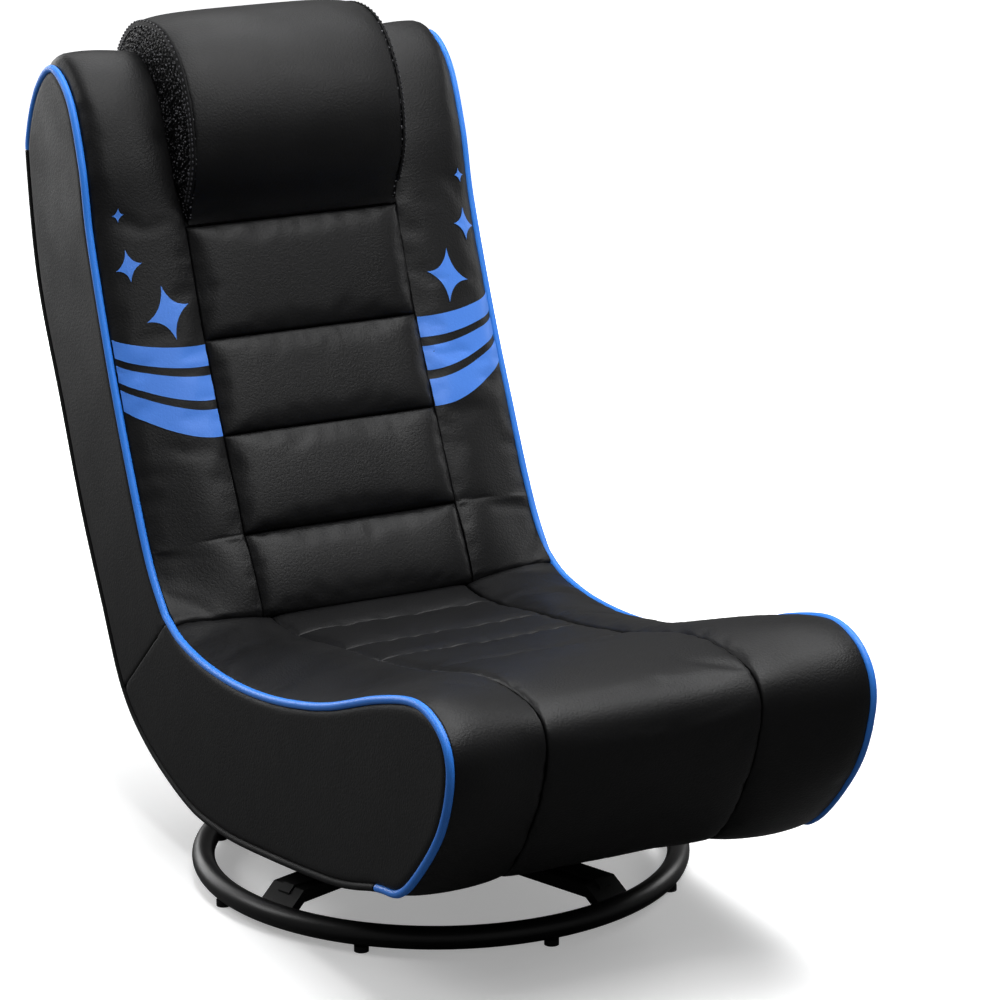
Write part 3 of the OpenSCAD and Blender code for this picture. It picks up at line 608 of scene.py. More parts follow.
# covers with padding under them
gridStep = 5.0      # millimetres between rows and between columns
lowerEnd = {
    # where the padding of the backrest rests on the seat, in the side view
    "middle": (120.5, 224), "side": (127, 229), "length": 88.0, "rowCount": 22,
    # how far its last rows roll inwards and how it swells
    "lip": 5.5, "lipLength": 9.0, "bulge": 4.0, "sideSink": 7.0,
    # how the seat turns down under it: outline parameter at the middle and gain towards the side
    "contact": 35.56, "contactGain": 0.24, "knotLength": 33, "seatRoll": 10.0, "seatDip": 4.5,
}


def flatSize(grid):
    # width and length of a sheet's cut, in metres, from its middle row and column
    rows, columns = grid.shape[:2]
    return tuple(float(lengthAlong(line)[-1] * 0.001) for line in (grid[rows // 2], grid[:, columns // 2]))


def creaseDip(u, v):
    # the seat covers turn down where the backrest's padding rests on them, which leaves a dark line
    contact = lowerEnd["contact"] + lowerEnd["contactGain"] * v
    share = np.clip(1 - (contact - u) * lowerEnd["knotLength"] / lowerEnd["seatRoll"], 0, 1)
    return -lowerEnd["seatDip"] * (1 - np.sqrt(1 - share**2))


def seamLip(distance, depth=3.0, reach=2.2):
    # two covers meet in a narrow crevice: each one turns down into the seam with a small round edge
    share = np.clip(1 - distance / reach, 0, 1)
    return -depth * (1 - np.sqrt(1 - share**2))


def runAlong(us):
    return lengthAlong(lifted(us, np.zeros(len(us))))[:, None]


def seamPull(us, X, edges, seed, reach=7):
    # small puckers where the cover is drawn into its side seams
    along = runAlong(us)
    pull = np.zeros(X.shape)
    for k, e in enumerate(edges):
        near = np.exp(-np.abs(X - e) / reach)
        pull = pull + near * (0.4 * ripple(along, 9, seed + k) + 0.5 * ripple(along, 23, seed + k + 5))
    return pull


def lineFolds(us, X, stitched, depth, seed, width=1.3, reach=7):
    # each stitched line sinks a little and draws short folds into the cover beside it
    along = runAlong(us)
    folds = np.zeros(X.shape)
    for k, line in enumerate(stitched):
        d = np.abs(along - np.interp(line, us, along[:, 0]))
        draw = 0.7 * ripple(X, 7, seed + k) + 0.8 * ripple(X, 19, seed + 30 + k)
        folds += np.exp(-d / reach) * draw * np.clip(d / 2, 0, 1)
        folds -= depth * np.exp(-((d / width) ** 2))
    return folds


def heldPoints(shape, count, us, stitchedRows):
    held = np.zeros(shape, bool)
    held[[0, -1], :] = True
    held[:, [0, 1, -2, -1]] = True
    for line in stitchedRows:
        held[np.abs(us - line) < 0.02] = True
    return np.concatenate([np.flatnonzero(held.ravel()), np.arange(shape[0] * shape[1], count)])


def buildCover(name, us, xs, top, node, body, stitchedRows=(), pressure=1.0, cap=1.0, under=None):
    # under: line of the padding's underside in the side view, and how far in it stands
    line, inward = under or (lifted(us, -outlineAt(us)[..., 3] + 0.6), 1.0)
    points, faces = paddedMesh(top, atX(xs[0] * inward, line), atX(xs[-1] * inward, line))
    piece = meshPiece(name, points, faces, blackLeather)
    simulateCover(piece, heldPoints(top.shape[:2], len(points), us, stitchedRows), pressure, cap)
    return place(piece, body, node)


def backRows(step, stitched):
    # close rows below the first line, because that part hangs over the crease
    low = np.linspace(0, 1, lowerEnd["rowCount"])
    low = np.unique(np.concatenate([low, [0.01, 0.025, 0.05, 0.08, 0.12, 0.95, 0.975, 0.99]]))
    return np.concatenate([low[:-1], rowsAlong(1, stitched[-1], step, stitched[1:])])


def withLowerEnd(us, xs, top, v, crown, sign=1):
    # the rows below the first stitched line swell down and forwards until they rest on the seat
    row = int(np.argmin(np.abs(us - 1)))
    t = np.clip(us[: row + 1], 0, 1)[:, None, None]
    v = eased(v)[None, :, None]
    middle, side = np.array(lowerEnd["middle"]), np.array(lowerEnd["side"])
    foot = middle + (side - middle) * v + (outwardAt(0) * sideGain(0, sign * xs)[:, None])[None]
    chord = top[row][None, :, 1:] - foot
    normal = np.stack([-chord[..., 1], chord[..., 0]], -1)
    normal /= np.linalg.norm(normal, axis=-1, keepdims=True)
    bulge = lowerEnd["bulge"] * (1 - v) - lowerEnd["sideSink"] * v
    path = foot + chord * t + normal * bulge * 4 * t * (1 - t)
    edge = np.clip(t[..., 0] * lowerEnd["length"] / lowerEnd["lipLength"], 0, 1)
    inward = -lowerEnd["lip"] * (1 - quarterRound(edge))
    top = top.copy()
    top[: row + 1, :, 1:] = path + normal * (inward + crown)[..., None]
    return top


backPanel = {"rib": 9, "lineDepth": 1.2, "channelRoll": 13, "sideDrop": 0.3}
xs = columnsAcross(-backHalf, backHalf, gridStep)
us = backRows(gridStep, backStitched)
U, X = gridOf(us, xs)
folds = lineFolds(us, X, backStitched[1:], backPanel["lineDepth"], 20)
folds = folds + seamPull(us, X, (-backHalf, backHalf), 3)
top = surfacePoints(us, xs, panelHeight(U, X, backHalf, 0, backPanel["rib"], backStitched) + folds)
# the lowest channel swells like the others: round at both lines and at its sides
first = us <= 1
edge = np.clip((1 - us[first])[:, None] * lowerEnd["length"] / backPanel["channelRoll"], 0, 1)
level = np.sqrt(1 - (np.abs(xs) / backHalf) ** 6)[None, :]
crown = 0.9 * quarterRound(edge) * level - (1 - level) * backPanel["sideDrop"]
crown = backPanel["rib"] * crown + folds[first]
base = surfacePoints(us, xs, outlineAt(U)[..., 2] - 0.5 + folds)
top[first] = withLowerEnd(us, xs, base, np.zeros(len(xs)), crown)[first]
buildCover("backCentrePanel", us, xs, top, "back_centre_panel", "crease", backStitched)

us = rowsAlong(headrestStart + 0.01, topEnd, 7)
U, X = gridOf(us, xs)
H = panelHeight(U, X, backHalf, 3, 0, np.array([headrestStart, topEnd], float))
buildCover("backTopPanel", us, xs, surfacePoints(us, xs, H), "back_top_panel", "backrest")

seatPanel = {"recess": 2.5, "rib": 3.0, "roll": 16.0, "lineDepth": 3.0, "lineWidth": 0.7, "foldShare": 0.8,
             "frontLip": 1.2}
us = rowsAlong(rollEnd, crease, gridStep, seatStitched)
xs = columnsAcross(-seatHalf, seatHalf, gridStep)
U, X = gridOf(us, xs)
folds = lineFolds(us, X, seatStitched[:-1], seatPanel["lineDepth"], 70, seatPanel["lineWidth"])
H = panelHeight(U, X, seatHalf, seatPanel["recess"], seatPanel["rib"], seatStitched, seatPanel["roll"])
H = H + seamPull(us, X, (-seatHalf, seatHalf), 60) + folds * seatPanel["foldShare"]
H = H + creaseDip(U, np.zeros(U.shape)) + seamLip(seatHalf - np.abs(X))
H = H + seamLip(runAlong(us), seatPanel["frontLip"])
buildCover("seatCentrePanel", us, xs, surfacePoints(us, xs, H), "seat_centre_panel", "seat",
           seatStitched, 0.6, 0.6)

us = rowsAlong(underEnd, rollEnd - 0.01, gridStep, (rollEnd - 0.01,))
U, X = gridOf(us, xs)
H = panelHeight(U, X, seatHalf, 0, 0, np.array([underEnd, rollEnd], float))
H = H + seamPull(us, X, (-seatHalf, seatHalf), 120) * 0.7
H = H + seamLip(seatHalf - np.abs(X)) + seamLip(runAlong(us)[-1] - runAlong(us), seatPanel["frontLip"])
buildCover("seatFrontRoll", us, xs, surfacePoints(us, xs, H), "seat_front_roll", "seat", (), 0.5, 0.6)
print("centre panels built")

bolsters = {}
# on the fuller side the wing stands above its piping: outline parameters, heights
wing = {"shoulder": ([30.5, 31.5, 34.2, 35.2], [0, 5, 5, 0]), "dipStart": 114, "dipWidth": 60}
for side, sign in bothSides:
    xs = columnsAcross(bolsterX, chair["padX"], gridStep)
    us = backRows(gridStep + 1, np.array([0, 1, topEnd], float))
    U, X = gridOf(us, xs)
    pull = seamPull(us, X, (chair["backSeamX"], chair["padX"]), 200 + sign)
    H = bolsterHeight(U, X, bolsterX, backShoulder(U)) + pull * np.clip((topEnd - U) * 3, 0, 1)
    v = (xs - xs[0]) / (xs[-1] - xs[0])
    top = withLowerEnd(us, xs, surfacePoints(us, sign * xs, H), v, pull[us <= 1] * 0.7, sign)
    bolsters[side] = buildCover("backBolster" + side, us, sign * xs, top, "back_bolster_" + side.lower(),
                                "crease", (), 0.7, 0.6)
    xs = columnsAcross(wingX, chair["padX"], gridStep)
    us = rowsAlong(underEnd, crease, gridStep + 1)
    U, X = gridOf(us, xs)
    pull = seamPull(us, X, (chair["seatSeamX"], chair["padX"]), 240 + sign)
    shoulder = np.interp(U, *wing["shoulder"]) * (sign > 0)
    H = bolsterHeight(U, X, wingX, shoulder) + pull * fullness(U) + seamLip(X - xs[0])
    H = H + creaseDip(U, np.clip((X - wing["dipStart"]) / wing["dipWidth"], 0, 1))
    buildCover("seatWing" + side, us, sign * xs, surfacePoints(us, sign * xs, H),
               "seat_wing_" + side.lower(), "seat", (), 0.7, 0.6)
print("bolsters and wings built")

# headrest: a thick pillow sewn over the top of the backrest
pillow = {"half": 112.5, "crown": 4, "edgeDrop": 2.5, "start": headrestStart + 0.02, "end": topEnd - 0.1,
          "rowStep": 4.5, "floor": 2.6, "inward": 0.98}


def pillowHeight(u, v):
    k = outlineAt(u)
    swell = pillow["crown"] * (1 - v**4) - pillow["edgeDrop"] * np.abs(v) ** 10
    return np.maximum(k[..., 4] + swell, k[..., 2] + 1)


us = rowsAlong(pillow["start"], pillow["end"], pillow["rowStep"])
xs = columnsAcross(-pillow["half"], pillow["half"], gridStep)
U, X = gridOf(us, xs)
H = pillowHeight(U, X / pillow["half"]) + 0.6 * seamPull(us, X, (-pillow["half"], pillow["half"]), 300)
underLine = lifted(us, outlineAt(us)[..., 2] - pillow["floor"])
buildCover("headrestPillow", us, xs, surfacePoints(us, xs, H), "headrest_pillow", "backrest", (),
           1.0, 1.3, (underLine, pillow["inward"]))

# side walls of the headrest: knitted mesh, wider at its base than at the pillow's edge
gusset = {
    "topX": 112.8, "baseX": 120.5, "open": 30, "flare": 1.4, "bulge": 2.0, "thickness": 3.0,
    "loop": 4.6, "loopDepth": 1.5,
    "tape": 8.0, "tapeProud": 2.2, "tapeGap": 0.4, "overlap": 1.2,
    "stitch": (3.3, 0.95),      # length and half thickness
}


def gussetRim(us):
    # lower and upper edge of the wall, and how far it stands open
    k = outlineAt(us)
    low = bolsterHeight(us, np.full(us.shape, gusset["baseX"]), bolsterX, backShoulder(us)) - 1.5
    high = np.maximum(k[..., 4] - 1.5, k[..., 2] + 1.2)
    return low, np.maximum(high, low + 0.5), np.clip((high - low) / gusset["open"], 0, 1)


def tapeAt(us, share):
    # the tape lies on the wall: its place sideways and its height, share 0 at the pillow and 1 lower down
    low, high, openness = (line[:, None] for line in gussetRim(us))
    height = high + gusset["overlap"] - np.minimum(gusset["tape"], (high - low) * 0.6) * share
    down = np.clip(1 - (height - low) / np.maximum(high - low, 1), 0, 1)
    widening = gusset["baseX"] - gusset["topX"] + 1
    return gusset["topX"] + widening * down ** gusset["flare"] * openness + gusset["tapeGap"], height


def capsuleRow(places, ways, outs, size, count=6):
    # short stitches lying on a surface, each one a closed rounded bar
    points, faces = [], []
    a = np.arange(count) * 2 * np.pi / count
    for spot, way, out in zip(places, ways, outs):
        across = np.cross(way, out)
        n = len(points) * count
        for share, radius in ((-0.5, 0.35), (-0.3, 1.0), (0.3, 1.0), (0.5, 0.35)):
            ring = np.cos(a)[:, None] * across + 0.75 * np.sin(a)[:, None] * out
            points.append(spot + way * size[0] * share + size[1] * radius * ring)
        faces += [[m + i, m + (i + 1) % count, m + count + (i + 1) % count, m + count + i]
                  for m in range(n, n + 3 * count, count) for i in range(count)]
        faces += [[n + i for i in range(count)], [n + 3 * count + i for i in range(count)]]
    return np.concatenate(points), faces


for side, sign in bothSides:
    us = rowsAlong(headrestStart + 0.08, topEnd - 0.12, 1.4)
    low, high, _ = gussetRim(us)
    W = np.broadcast_to(np.linspace(0, 1, 36), (len(us), 36))
    openness = np.clip((high - low) / gusset["open"], 0, 1)[:, None]
    height = low[:, None] + (high - low)[:, None] * W
    x = gusset["topX"] + (gusset["baseX"] - gusset["topX"]) * (1 - W) ** gusset["flare"] * openness
    x = x + gusset["bulge"] * np.sin(np.pi * W) * openness
    along = runAlong(us)
    step = 2 * np.pi / gusset["loop"]
    drift = 1.2 * ripple(along + height * 0.7, 13, 320)
    loops = np.sin(step * (along + 0.5 * height + drift)) * np.sin(step * (height * 0.9 - drift))
    loops = loops + 0.4 * np.sin(step * 2.1 * (along - height * 0.3))
    edge = np.clip(np.minimum(W, 1 - W) * 8, 0, 1) * openness
    outer = surfacePoints(us, sign * (x + gusset["loopDepth"] * loops * edge), height)
    inner = surfacePoints(us, sign * (x - gusset["thickness"]), height)
    wall = meshPiece("headrestMeshWall" + side, *shellMesh(outer, inner), spacerMesh, 80)
    place(wall, "backrest", "headrest_gusset_" + side.lower())
    # leather tape over the seam between mesh and pillow, stitched along both edges
    us = rowsAlong(headrestStart + 0.3, topEnd - 0.35, 3)
    ws = np.linspace(0, 1, 9)
    x, height = tapeAt(us, ws)
    arch = np.sqrt(np.clip(1 - (2 * ws - 1) ** 4, 0, 1)) * gusset["tapeProud"]
    tape = shellMesh(*(surfacePoints(us, sign * (x + proud), height) for proud in (arch, -1.0)))
    place(meshPiece("headrestTape" + side, *tape, blackWelt), "backrest")
    for row, share in enumerate((0.14, 0.86)):
        us = rowsAlong(headrestStart + 0.35, topEnd - 0.45, 4.3)
        x, height = tapeAt(us, share)
        spots = surfacePoints(us, sign * (x + gusset["tapeProud"] * 0.9), height)[:, 0]
        ways = np.gradient(spots, axis=0)
        ways /= np.linalg.norm(ways, axis=1, keepdims=True)
        outs = np.tile([float(sign), 0, 0], (len(us), 1))
        stitches = capsuleRow(spots, ways, outs, gusset["stitch"])
        place(meshPiece("headrestStitches%s.%d" % (side, row + 1), *stitches, blackThread), "backrest")
print("headrest built")

# side panels, padded board covered with leather
sidePanel = {"edgeRound": 8.0, "edgeThickness": 1.5, "splitRound": 3.0, "splitDrop": 1.8, "inset": 6.4,
             "gap": 0.15, "grid": 7.0, "wave": 0.5, "seamLength": 38, "seamDepth": 0.9, "seamWidth": 0.8}
hingePlace = np.array(chair["hinge"], float)
splitStart = np.array(chair["splitStart"], float)
splitWay = np.array(chair["rearCorner"], float) - splitStart
splitWay /= np.linalg.norm(splitWay)
splitAcross = np.array([-splitWay[1], splitWay[0]])
knuckleSeam = splitStart + splitWay * np.array([[0], [sidePanel["seamLength"]]])


def splitFrom(radius, offset):
    # where the split leaves a circle round the hinge
    base = splitStart + splitAcross * offset
    off = (hingePlace - base) @ splitAcross
    return base + splitWay * ((hingePlace - base) @ splitWay + math.sqrt(radius**2 - off**2))


def crossing(value, us):
    # parameter at which a measure along the outline changes sign
    k = np.flatnonzero(np.sign(value[1:]) != np.sign(value[:-1]))[0]
    return us[k] + (us[k + 1] - us[k]) * value[k] / (value[k] - value[k + 1])


def insetAt(us, sign):
    return lifted(us, sideGain(us, sign * chair["sideX"]) - sidePanel["inset"])


def distanceTo(points, line):
    best = np.full(len(points), 1e9)
    for a, b in zip(line[:-1], line[1:]):
        d = b - a
        t = np.clip(((points - a) @ d) / max(d @ d, 1e-9), 0, 1)
        best = np.minimum(best, np.linalg.norm(points - a - t[:, None] * d, axis=1))
    return best


def insideOf(points, loop):
    inside = np.zeros(len(points), bool)
    x, y = points[:, 0], points[:, 1]
    for (x0, y0), (x1, y1) in zip(loop, np.roll(loop, -1, axis=0)):
        if y0 != y1:
            inside ^= ((y0 > y) != (y1 > y)) & (x < (x1 - x0) * (y - y0) / (y1 - y0) + x0)
    return inside


def sideLoop(seatSide, sign):
    # boundary of a side panel: its stretch of the outline, the straight split and the arc round the hinge
    gap = sidePanel["gap"]
    offset = -gap if seatSide else gap
    arcRadius = chair["knuckleRadius"] + (0 if seatSide else 2 * gap)
    near = np.linspace(36.2, 37.6, 400)
    arcU = crossing(np.linalg.norm(insetAt(near, sign) - hingePlace, axis=1) - arcRadius, near)
    rear = np.linspace(13.5, 16.5, 400)
    splitU = crossing((insetAt(rear, sign) - splitStart) @ splitAcross - offset, rear)
    outer = insetAt(rowsAlong(*((splitU, arcU) if seatSide else (arcU - knotCount, splitU)), 3.0), sign)
    arcFrom = (outer[-1] if seatSide else outer[0]) - hingePlace
    arcTo = splitFrom(arcRadius, offset) - hingePlace
    angles = np.linspace(math.atan2(arcFrom[1], arcFrom[0]), math.atan2(arcTo[1], arcTo[0]), 14)
    arc = hingePlace + arcRadius * np.stack([np.cos(angles), np.sin(angles)], 1)
    corner = outer[0] if seatSide else outer[-1]
    count = int(np.linalg.norm(corner - arc[-1]) / 4)
    split = arc[-1] + (corner - arc[-1]) * np.linspace(0, 1, count)[:, None]
    rest = (arc[1:], split[1:-1]) if seatSide else (split[::-1][1:], arc[::-1][1:-1])
    return np.concatenate((outer,) + rest), outer, split


def sidePoints(seatSide, loop, outer, split):
    # points of the flat panel: an even field, and closer lines where its surface curves
    low, high = loop.min(0), loop.max(0)
    lines = (np.arange(low[k], high[k], sidePanel["grid"]) for k in (0, 1))
    field = np.stack(np.meshgrid(*lines), -1).reshape(-1, 2)
    field = field[insideOf(field, loop)]
    field = field[(distanceTo(field, outer) > sidePanel["edgeRound"] + 2.5) & (distanceTo(field, split) > 5)]
    field = field[distanceTo(field, knuckleSeam) > 4]
    rings = []
    way = np.gradient(outer, axis=0)
    way /= np.linalg.norm(way, axis=1, keepdims=True)
    for d in (0.5, 1.3, 2.6, 4.4, 6.6, 9.2):
        ring = outer + np.stack([way[:, 1], -way[:, 0]], 1) * d
        rings.append(ring[insideOf(ring, loop)][1:-1])
    if seatSide:
        seam = splitStart + splitWay * np.linspace(8, 36, 15)[:, None]
        rings += [seam + splitAcross * d for d in (-1.6, -0.8, 0, 0.8, 1.6)]
    for d in (0.6, 1.5, 3.0):
        ring = split + splitAcross * (-d if seatSide else d)
        rings.append(ring[insideOf(ring, loop) & (distanceTo(ring, outer) > sidePanel["edgeRound"] + 1)])
    return np.concatenate([loop, field] + rings)


def buildSide(name, seatSide, sign, body, node):
    loop, outer, split = sideLoop(seatSide, sign)
    flat = sidePoints(seatSide, loop, outer, split)
    result = delaunay_2d_cdt([Vector(p) for p in flat.tolist()], [], [list(range(len(loop)))], 1, 1e-5)
    flat = np.array([tuple(v) for v in result[0]])
    triangles = [list(f) for f in result[2]]
    edge = np.clip(distanceTo(flat, outer) / sidePanel["edgeRound"], 0, 1)
    joint = np.clip(distanceTo(flat, split) / sidePanel["splitRound"], 0, 1)
    thin = sidePanel["edgeThickness"]
    wave = ripple(flat[:, 0] + 0.6 * flat[:, 1], 70, 400) + ripple(flat[:, 1] - 0.4 * flat[:, 0], 90, 410)
    thickness = thin + (chair["sideThickness"] - thin) * quarterRound(edge)
    thickness += sidePanel["wave"] * (wave - 1) * edge * 0.5
    thickness -= sidePanel["splitDrop"] * (1 - quarterRound(joint))
    if seatSide:
        # the same line goes on over the knuckle as a sewn seam
        seam = distanceTo(flat, knuckleSeam) / sidePanel["seamWidth"]
        thickness -= sidePanel["seamDepth"] * np.exp(-(seam**2))
    count = len(flat)
    outside = np.stack([chair["sideX"] + thickness, flat[:, 0], flat[:, 1]], 1)
    # the boundary edges are those that one triangle uses
    uses = dict.fromkeys((a, b) for f in triangles for a, b in zip(f, f[1:] + f[:1]))
    faces = triangles + [[i + count for i in reversed(f)] for f in triangles]
    faces += [[b, a, a + count, b + count] for a, b in uses if (b, a) not in uses]
    points = np.concatenate([outside, atX(chair["sideX"] + 0.1, flat)]) * (sign, 1, 1)
    place(meshPiece(name, points, faces, sideLeather, 40), body, node)


for side, sign in bothSides:
    buildSide("seatSide" + side, True, sign, "seat", "seat_side_" + side.lower())
    buildSide("backSide" + side, False, sign, "backrest", "back_side_" + side.lower())
print("side panels built")

# piping and welts along the edges, outline parameters; the blue piping ends low on the rear edge
pipingEnd = 9.6
edgeCords = (
    ("seatPiping", underEnd + 0.02, crease - 0.35, "seat", "blue_piping", "seat_piping_", bluePiping),
    ("backPiping", 0.6, pipingEnd, "backrest", "blue_piping", "back_piping_", bluePiping),
    ("seatWelt", rearEnd + 0.006, underEnd - 0.02, "seat", "black_welt", "seat_welt_", blackWelt),
    ("backWelt", pipingEnd + 0.03, rearEnd - 0.006, "backrest", "black_welt", "back_welt_", blackWelt),
)
for side, sign in bothSides:
    for name, start, end, body, slot, node, material in edgeCords:
        cord = edgeCord(name + side, rowsAlong(start, end, 3.5), sign, material)
        place(cord, body, node + side.lower())
print("piping built")

# strip of cover over the knuckle, open where the hinge plates of the backrest turn
creaseStrip = {"slot": (165.3, 169.9), "sink": 2.8, "thickness": 1.8, "clear": 0.4, "wave": 0.2}
us = np.linspace(crease + 0.03, crease + 0.9, 60)
reach = np.linalg.norm(lifted(us, np.full(60, -creaseStrip["sink"])) - hingePlace, axis=1)
us = us[reach < chair["knuckleRadius"] - creaseStrip["clear"]]
slotIn, slotOut = creaseStrip["slot"]
stripPoints, stripFaces, cuts = [], [], []
for low, high in ((-chair["padX"], -slotOut), (-slotIn, slotIn), (slotOut, chair["padX"])):
    U, X = gridOf(us, np.linspace(low, high, max(6, round((high - low) / 5))))
    wave = creaseStrip["wave"] * ripple(X, 16, 540) * ripple(U * 60, 9, 541)
    outer, inner = (np.concatenate([X[..., None], lifted(U, depth - creaseStrip["sink"])], -1)
                    for depth in (wave, 0 * wave - creaseStrip["thickness"]))
    points, faces = shellMesh(outer, inner)
    before = sum(len(p) for p in stripPoints)
    stripPoints.append(points)
    stripFaces += [[i + before for i in f] for f in faces]
    cuts.append(flatSize(outer))
creaseCover = meshPiece("creaseCover", np.concatenate(stripPoints), stripFaces, liningCloth)
place(creaseCover, "seat", "crease_strip")
# the piping runs on through the crease, on neither body
for side, sign in bothSides:
    us = np.linspace(crease - 0.37, knotCount + 0.62, 40)
    place(edgeCord("creasePiping" + side, us, sign, bluePiping, 0.02), "crease")
print("crease built")

# rear panel and underside
half = chair["padX"]
us = rowsAlong(topEnd + 0.02, rearEnd - 0.06, 7)
xs = columnsAcross(-half, half, 8)
U, X = gridOf(us, xs)
H = 4 * (1 - np.abs(X / half) ** 4) - 3 + 0.6 * seamPull(us, X, (-half, half), 500)
H += 0.5 * ripple(X + 0.3 * U * 100, 60, 510) * ripple(U * 100, 140, 511)
underLine = lifted(us, np.full(len(us), -9.4))
points, faces = paddedMesh(surfacePoints(us, xs, H), atX(-half, underLine), atX(half, underLine))
rearPanel = meshPiece("backRearPanel", points, faces, sideLeather)
place(rearPanel, "backrest", "back_rear_panel")

us = rowsAlong(rearEnd + 0.03, underEnd - 0.03, 7)
xs = np.linspace(-half, half, 60)
U, X = gridOf(us, xs)
sag = 0.6 * ripple(X, 45, 520) * ripple(U * 90, 120, 521)
outer, inner = (surfacePoints(us, xs, sag - depth) for depth in (1.0, 2.6))
bottomLining = meshPiece("seatBottomLining", *shellMesh(outer, inner), liningCloth)
place(bottomLining, "seat", "seat_bottom_cover")

# the two faces that meet in the fold, from the knuckle to the rear corner
foldFace = {"start": 38.5, "end": 164.5, "gap": 0.45, "thickness": 1.8, "wave": 0.25}
for part, body, sign in (("seat", "seat", -1), ("back", "backrest", 1)):
    A, X = gridOf(np.linspace(foldFace["start"], foldFace["end"], 40), np.linspace(-half, half, 90))
    wave = foldFace["wave"] * ripple(X, 18, 530) * ripple(A, 24, 531)
    layers = []
    for depth in (foldFace["gap"] - wave, foldFace["gap"] + foldFace["thickness"] + 0 * wave):
        spot = splitStart + A[..., None] * splitWay + (sign * depth)[..., None] * splitAcross
        layers.append(np.concatenate([X[..., None], spot], -1))
    face = meshPiece(part + "FoldFace", *shellMesh(*layers), liningCloth)
    place(face, body, part + "_end_cover")
print("rear, underside and fold faces built")

# prints on the bolsters: three stripes and three four-pointed stars on each side
prints = {
    "proud": 0.6, "sunk": 0.3,       # film above and below the leather's surface
    "innerX": 115.2, "outerX": 203.0,
    # heights of upper and lower edge: at the inner seam, at the piping, and how late the curve rises
    "stripes": [((470, 479.5, 3.0), (450.5, 462.5, 2.6)), ((442, 455.5, 2.2), (419.5, 440, 2.0)),
                ((411, 433, 1.9), (386, 413.5, 2.0))],
    # tips: top, outer, bottom, inner, each as distance from the middle and height
    "stars": [((157, 528.5), (176, 495), (150, 477.5), (131.5, 509.5)),
              ((186, 564), (197, 544), (184.5, 533), (171.5, 550.5)),
              ((187, 603.5), (193.5, 596), (188.5, 589.5), (182, 597))],
    "starWaist": 0.17,
    "starShift": {"Left": (3.0, 2.0), "Right": (-6.0, 0.0)},     # the two sides were not pressed on alike
}


def filmMesh(tree, sign, flat):
    # drops points, given as distance from the middle and height, onto the bolster
    fine = np.linspace(1, 6, 900)
    shape = flat.shape[:-1]
    out = np.zeros((2,) + shape + (3,))
    for index in np.ndindex(shape):
        x, z = flat[index]
        zs = lifted(fine, bolsterHeight(fine, np.full(900, x), bolsterX, backShoulder(fine)))[:, 1]
        u = np.interp(z, zs, fine)
        way = outwardAt(u)
        origin = lifted(u, np.array(60.0))
        hit, normal, _, _ = tree.ray_cast(Vector((sign * x, *origin)) * 0.001, Vector((0, -way[0], -way[1])))
        hit, normal = np.array(hit) * 1000, np.array(normal)
        normal = normal if normal @ np.array([0, way[0], way[1]]) > 0 else -normal
        out[0][index] = hit + normal * prints["proud"]
        out[1][index] = hit - normal * prints["sunk"]
    return shellMesh(out[0], out[1])


def starPoints(tips, rings=7, steps=12):
    tips = np.array(tips, float)
    middle = tips.mean(0)
    edge = []
    for a, b in zip(tips, np.roll(tips, -1, axis=0)):
        waist = middle + prints["starWaist"] * ((a - middle) + (b - middle))
        t = np.linspace(0, 1, steps, endpoint=False)[:, None]
        edge.append(a * (1 - t) ** 2 + 2 * waist * t * (1 - t) + b * t**2)
    edge = np.concatenate(edge + [tips[:1]])
    share = np.linspace(0.02, 1, rings)[:, None, None]
    return middle + (edge - middle)[None] * share


for side, sign in bothSides:
    cover = bolsters[side].data
    tree = BVHTree.FromPolygons([v.co for v in cover.vertices], [list(p.vertices) for p in cover.polygons])
    flats = []
    across = np.linspace(0, 1, 36)
    x = prints["innerX"] + (prints["outerX"] - prints["innerX"]) * across
    for edges in prints["stripes"]:
        upper, lower = (low + (high - low) * across**bend for low, high, bend in edges)
        height = upper + (lower - upper) * np.linspace(0, 1, 9)[:, None]
        flats.append(np.stack([np.broadcast_to(x, height.shape), height], -1))
    flats += [starPoints(np.array(tips, float) + prints["starShift"][side]) for tips in prints["stars"]]
    for number, flat in enumerate(flats):
        kind = "printStripe" if number < 3 else "printStar"
        film = meshPiece("%s%s.%d" % (kind, side, number % 3 + 1), *filmMesh(tree, sign, flat), blueFilm)
        place(film, "backrest")
print("prints laid on the bolsters")

# floor, lamps and world
studio = {
    # the camera sees a paler floor than the chair does, so that its underside stays dark; to the camera the
    # floor is painted darker near the chair as painted shade and paler far off as painted light: floorSeen at
    # the radii floorReach
    "floorSize": 60, "floorSeen": (0.95, 2.4), "floorReach": (0.6, 2.4), "floorColour": "#646464",
    "floorGlow": 0.3,
    "worldLight": 0.19,
    "sun": {"from": (0.25, 0.25, 1.0), "strength": 0.44, "angle": 40, "colour": (0.95, 0.97, 1.0)},
    "aim": (0, 0, 0.4),
    # name: place, size, watts
    "lamps": {"topLamp": ((0.4, 0.2, 2.4), 1.6, 26), "upperLamp": ((0.0, -0.8, 2.3), 1.2, 21),
              "frontLamp": ((0.5, -0.6, 1.5), 0.4, 4.0), "nearLamp": ((-0.1, -0.9, 1.2), 0.4, 1.6),
              "leftLamp": ((-1.7, 1.1, 1.5), 1.0, 16), "lowLamp": ((-0.9, 1.7, 0.4), 0.6, 2.7),
              "rearLamp": ((0.3, 1.5, 2.0), 1.0, 6.5), "backLamp": ((-0.5, 2.3, 0.9), 1.2, 16),
              "rightLamp": ((2.2, 0.4, 1.1), 1.0, 12)},
}
floor = newObject("floor", bpy.data.meshes.new("floor"))
reach = studio["floorSize"] / 2
corners = [(x * reach, y * reach, 0) for x, y in ((-1, -1), (1, -1), (1, 1), (-1, 1))]
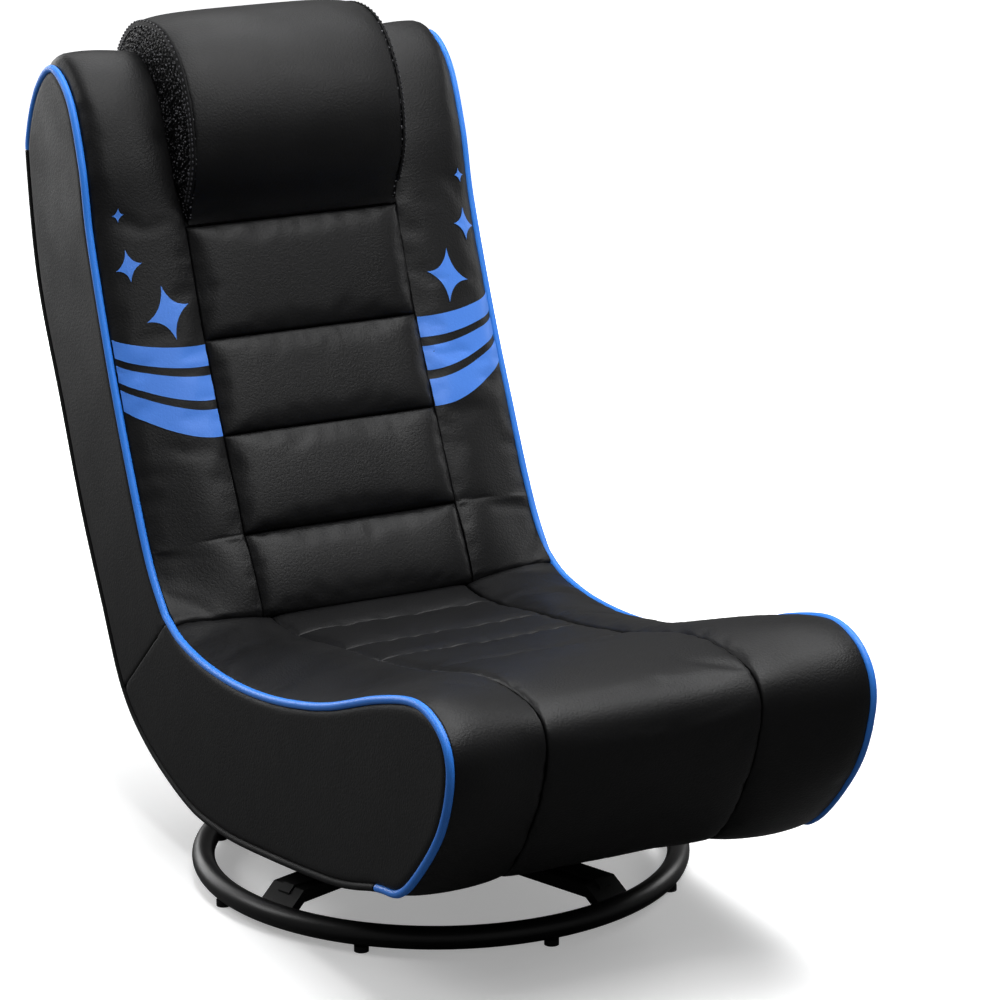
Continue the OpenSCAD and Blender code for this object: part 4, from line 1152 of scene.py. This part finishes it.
floor.data.from_pydata(corners, [], [(0, 1, 2, 3)])
floorMaterial = bpy.data.materials.new("paleFloor")
tree = clearedTree(floorMaterial)
ray = addNode(tree, "LightPath")
where = addNode(tree, "TexCoord").outputs["Object"]
radius = addNode(tree, "VectorMath", {"operation": "LENGTH"}, {0: where})
reaches = dict(zip(("From Min", "From Max", "To Min", "To Max"), studio["floorReach"] + studio["floorSeen"]))
# painted shade and light on the floor, for the camera only: darker near the chair, paler far from it where
# the lamps' light falls off
paintedFloorGradient = addNode(tree, "MapRange", reaches, {"Value": radius.outputs["Value"]})
paint = addNode(tree, "Mix", {"data_type": "RGBA", 6: linearColour(studio["floorColour"])},
                {0: ray.outputs["Is Camera Ray"], 7: paintedFloorGradient.outputs["Result"]})
matt = addNode(tree, "BsdfDiffuse", links={"Color": paint.outputs[2]})
glow = addNode(tree, "Math", {"operation": "MULTIPLY", 1: studio["floorGlow"]},
               {0: ray.outputs["Is Camera Ray"]})
shine = addNode(tree, "Emission", {"Color": (1, 1, 1, 1)}, {"Strength": glow.outputs[0]})
both = addNode(tree, "AddShader", links={0: matt.outputs[0], 1: shine.outputs[0]})
addNode(tree, "OutputMaterial", links={"Surface": both.outputs[0]})
floor.data.materials.append(floorMaterial)

# the background is white to the camera only, so that it puts no light on the chair
scene.world = bpy.data.worlds.new("studio")
tree = clearedTree(scene.world)
ray = addNode(tree, "LightPath")
seen = addNode(tree, "Math", {"operation": "MAXIMUM"},
               {0: ray.outputs["Is Camera Ray"], 1: ray.outputs["Is Transmission Ray"]})
level = addNode(tree, "MapRange", {"To Min": studio["worldLight"], "To Max": 1.0}, {"Value": seen.outputs[0]})
sky = addNode(tree, "Background", {"Color": (1, 1, 1, 1)}, {"Strength": level.outputs["Result"]})
addNode(tree, "OutputWorld", links={"Surface": sky.outputs[0]})


def turnedTowards(way):
    return Vector(way).to_track_quat("-Z", "Y").to_euler()


sun = bpy.data.lights.new("sun", "SUN")
sun.energy = studio["sun"]["strength"]
sun.angle = math.radians(studio["sun"]["angle"])
sun.color = studio["sun"]["colour"]
newObject("sun", sun).rotation_euler = turnedTowards(-Vector(studio["sun"]["from"]))
for name, (spot, size, watts) in studio["lamps"].items():
    lamp = bpy.data.lights.new(name, "AREA")
    lamp.size = size
    lamp.energy = watts
    holder = newObject(name, lamp)
    holder.location = spot
    holder.rotation_euler = turnedTowards(Vector(studio["aim"]) - Vector(spot))
print("studio set")
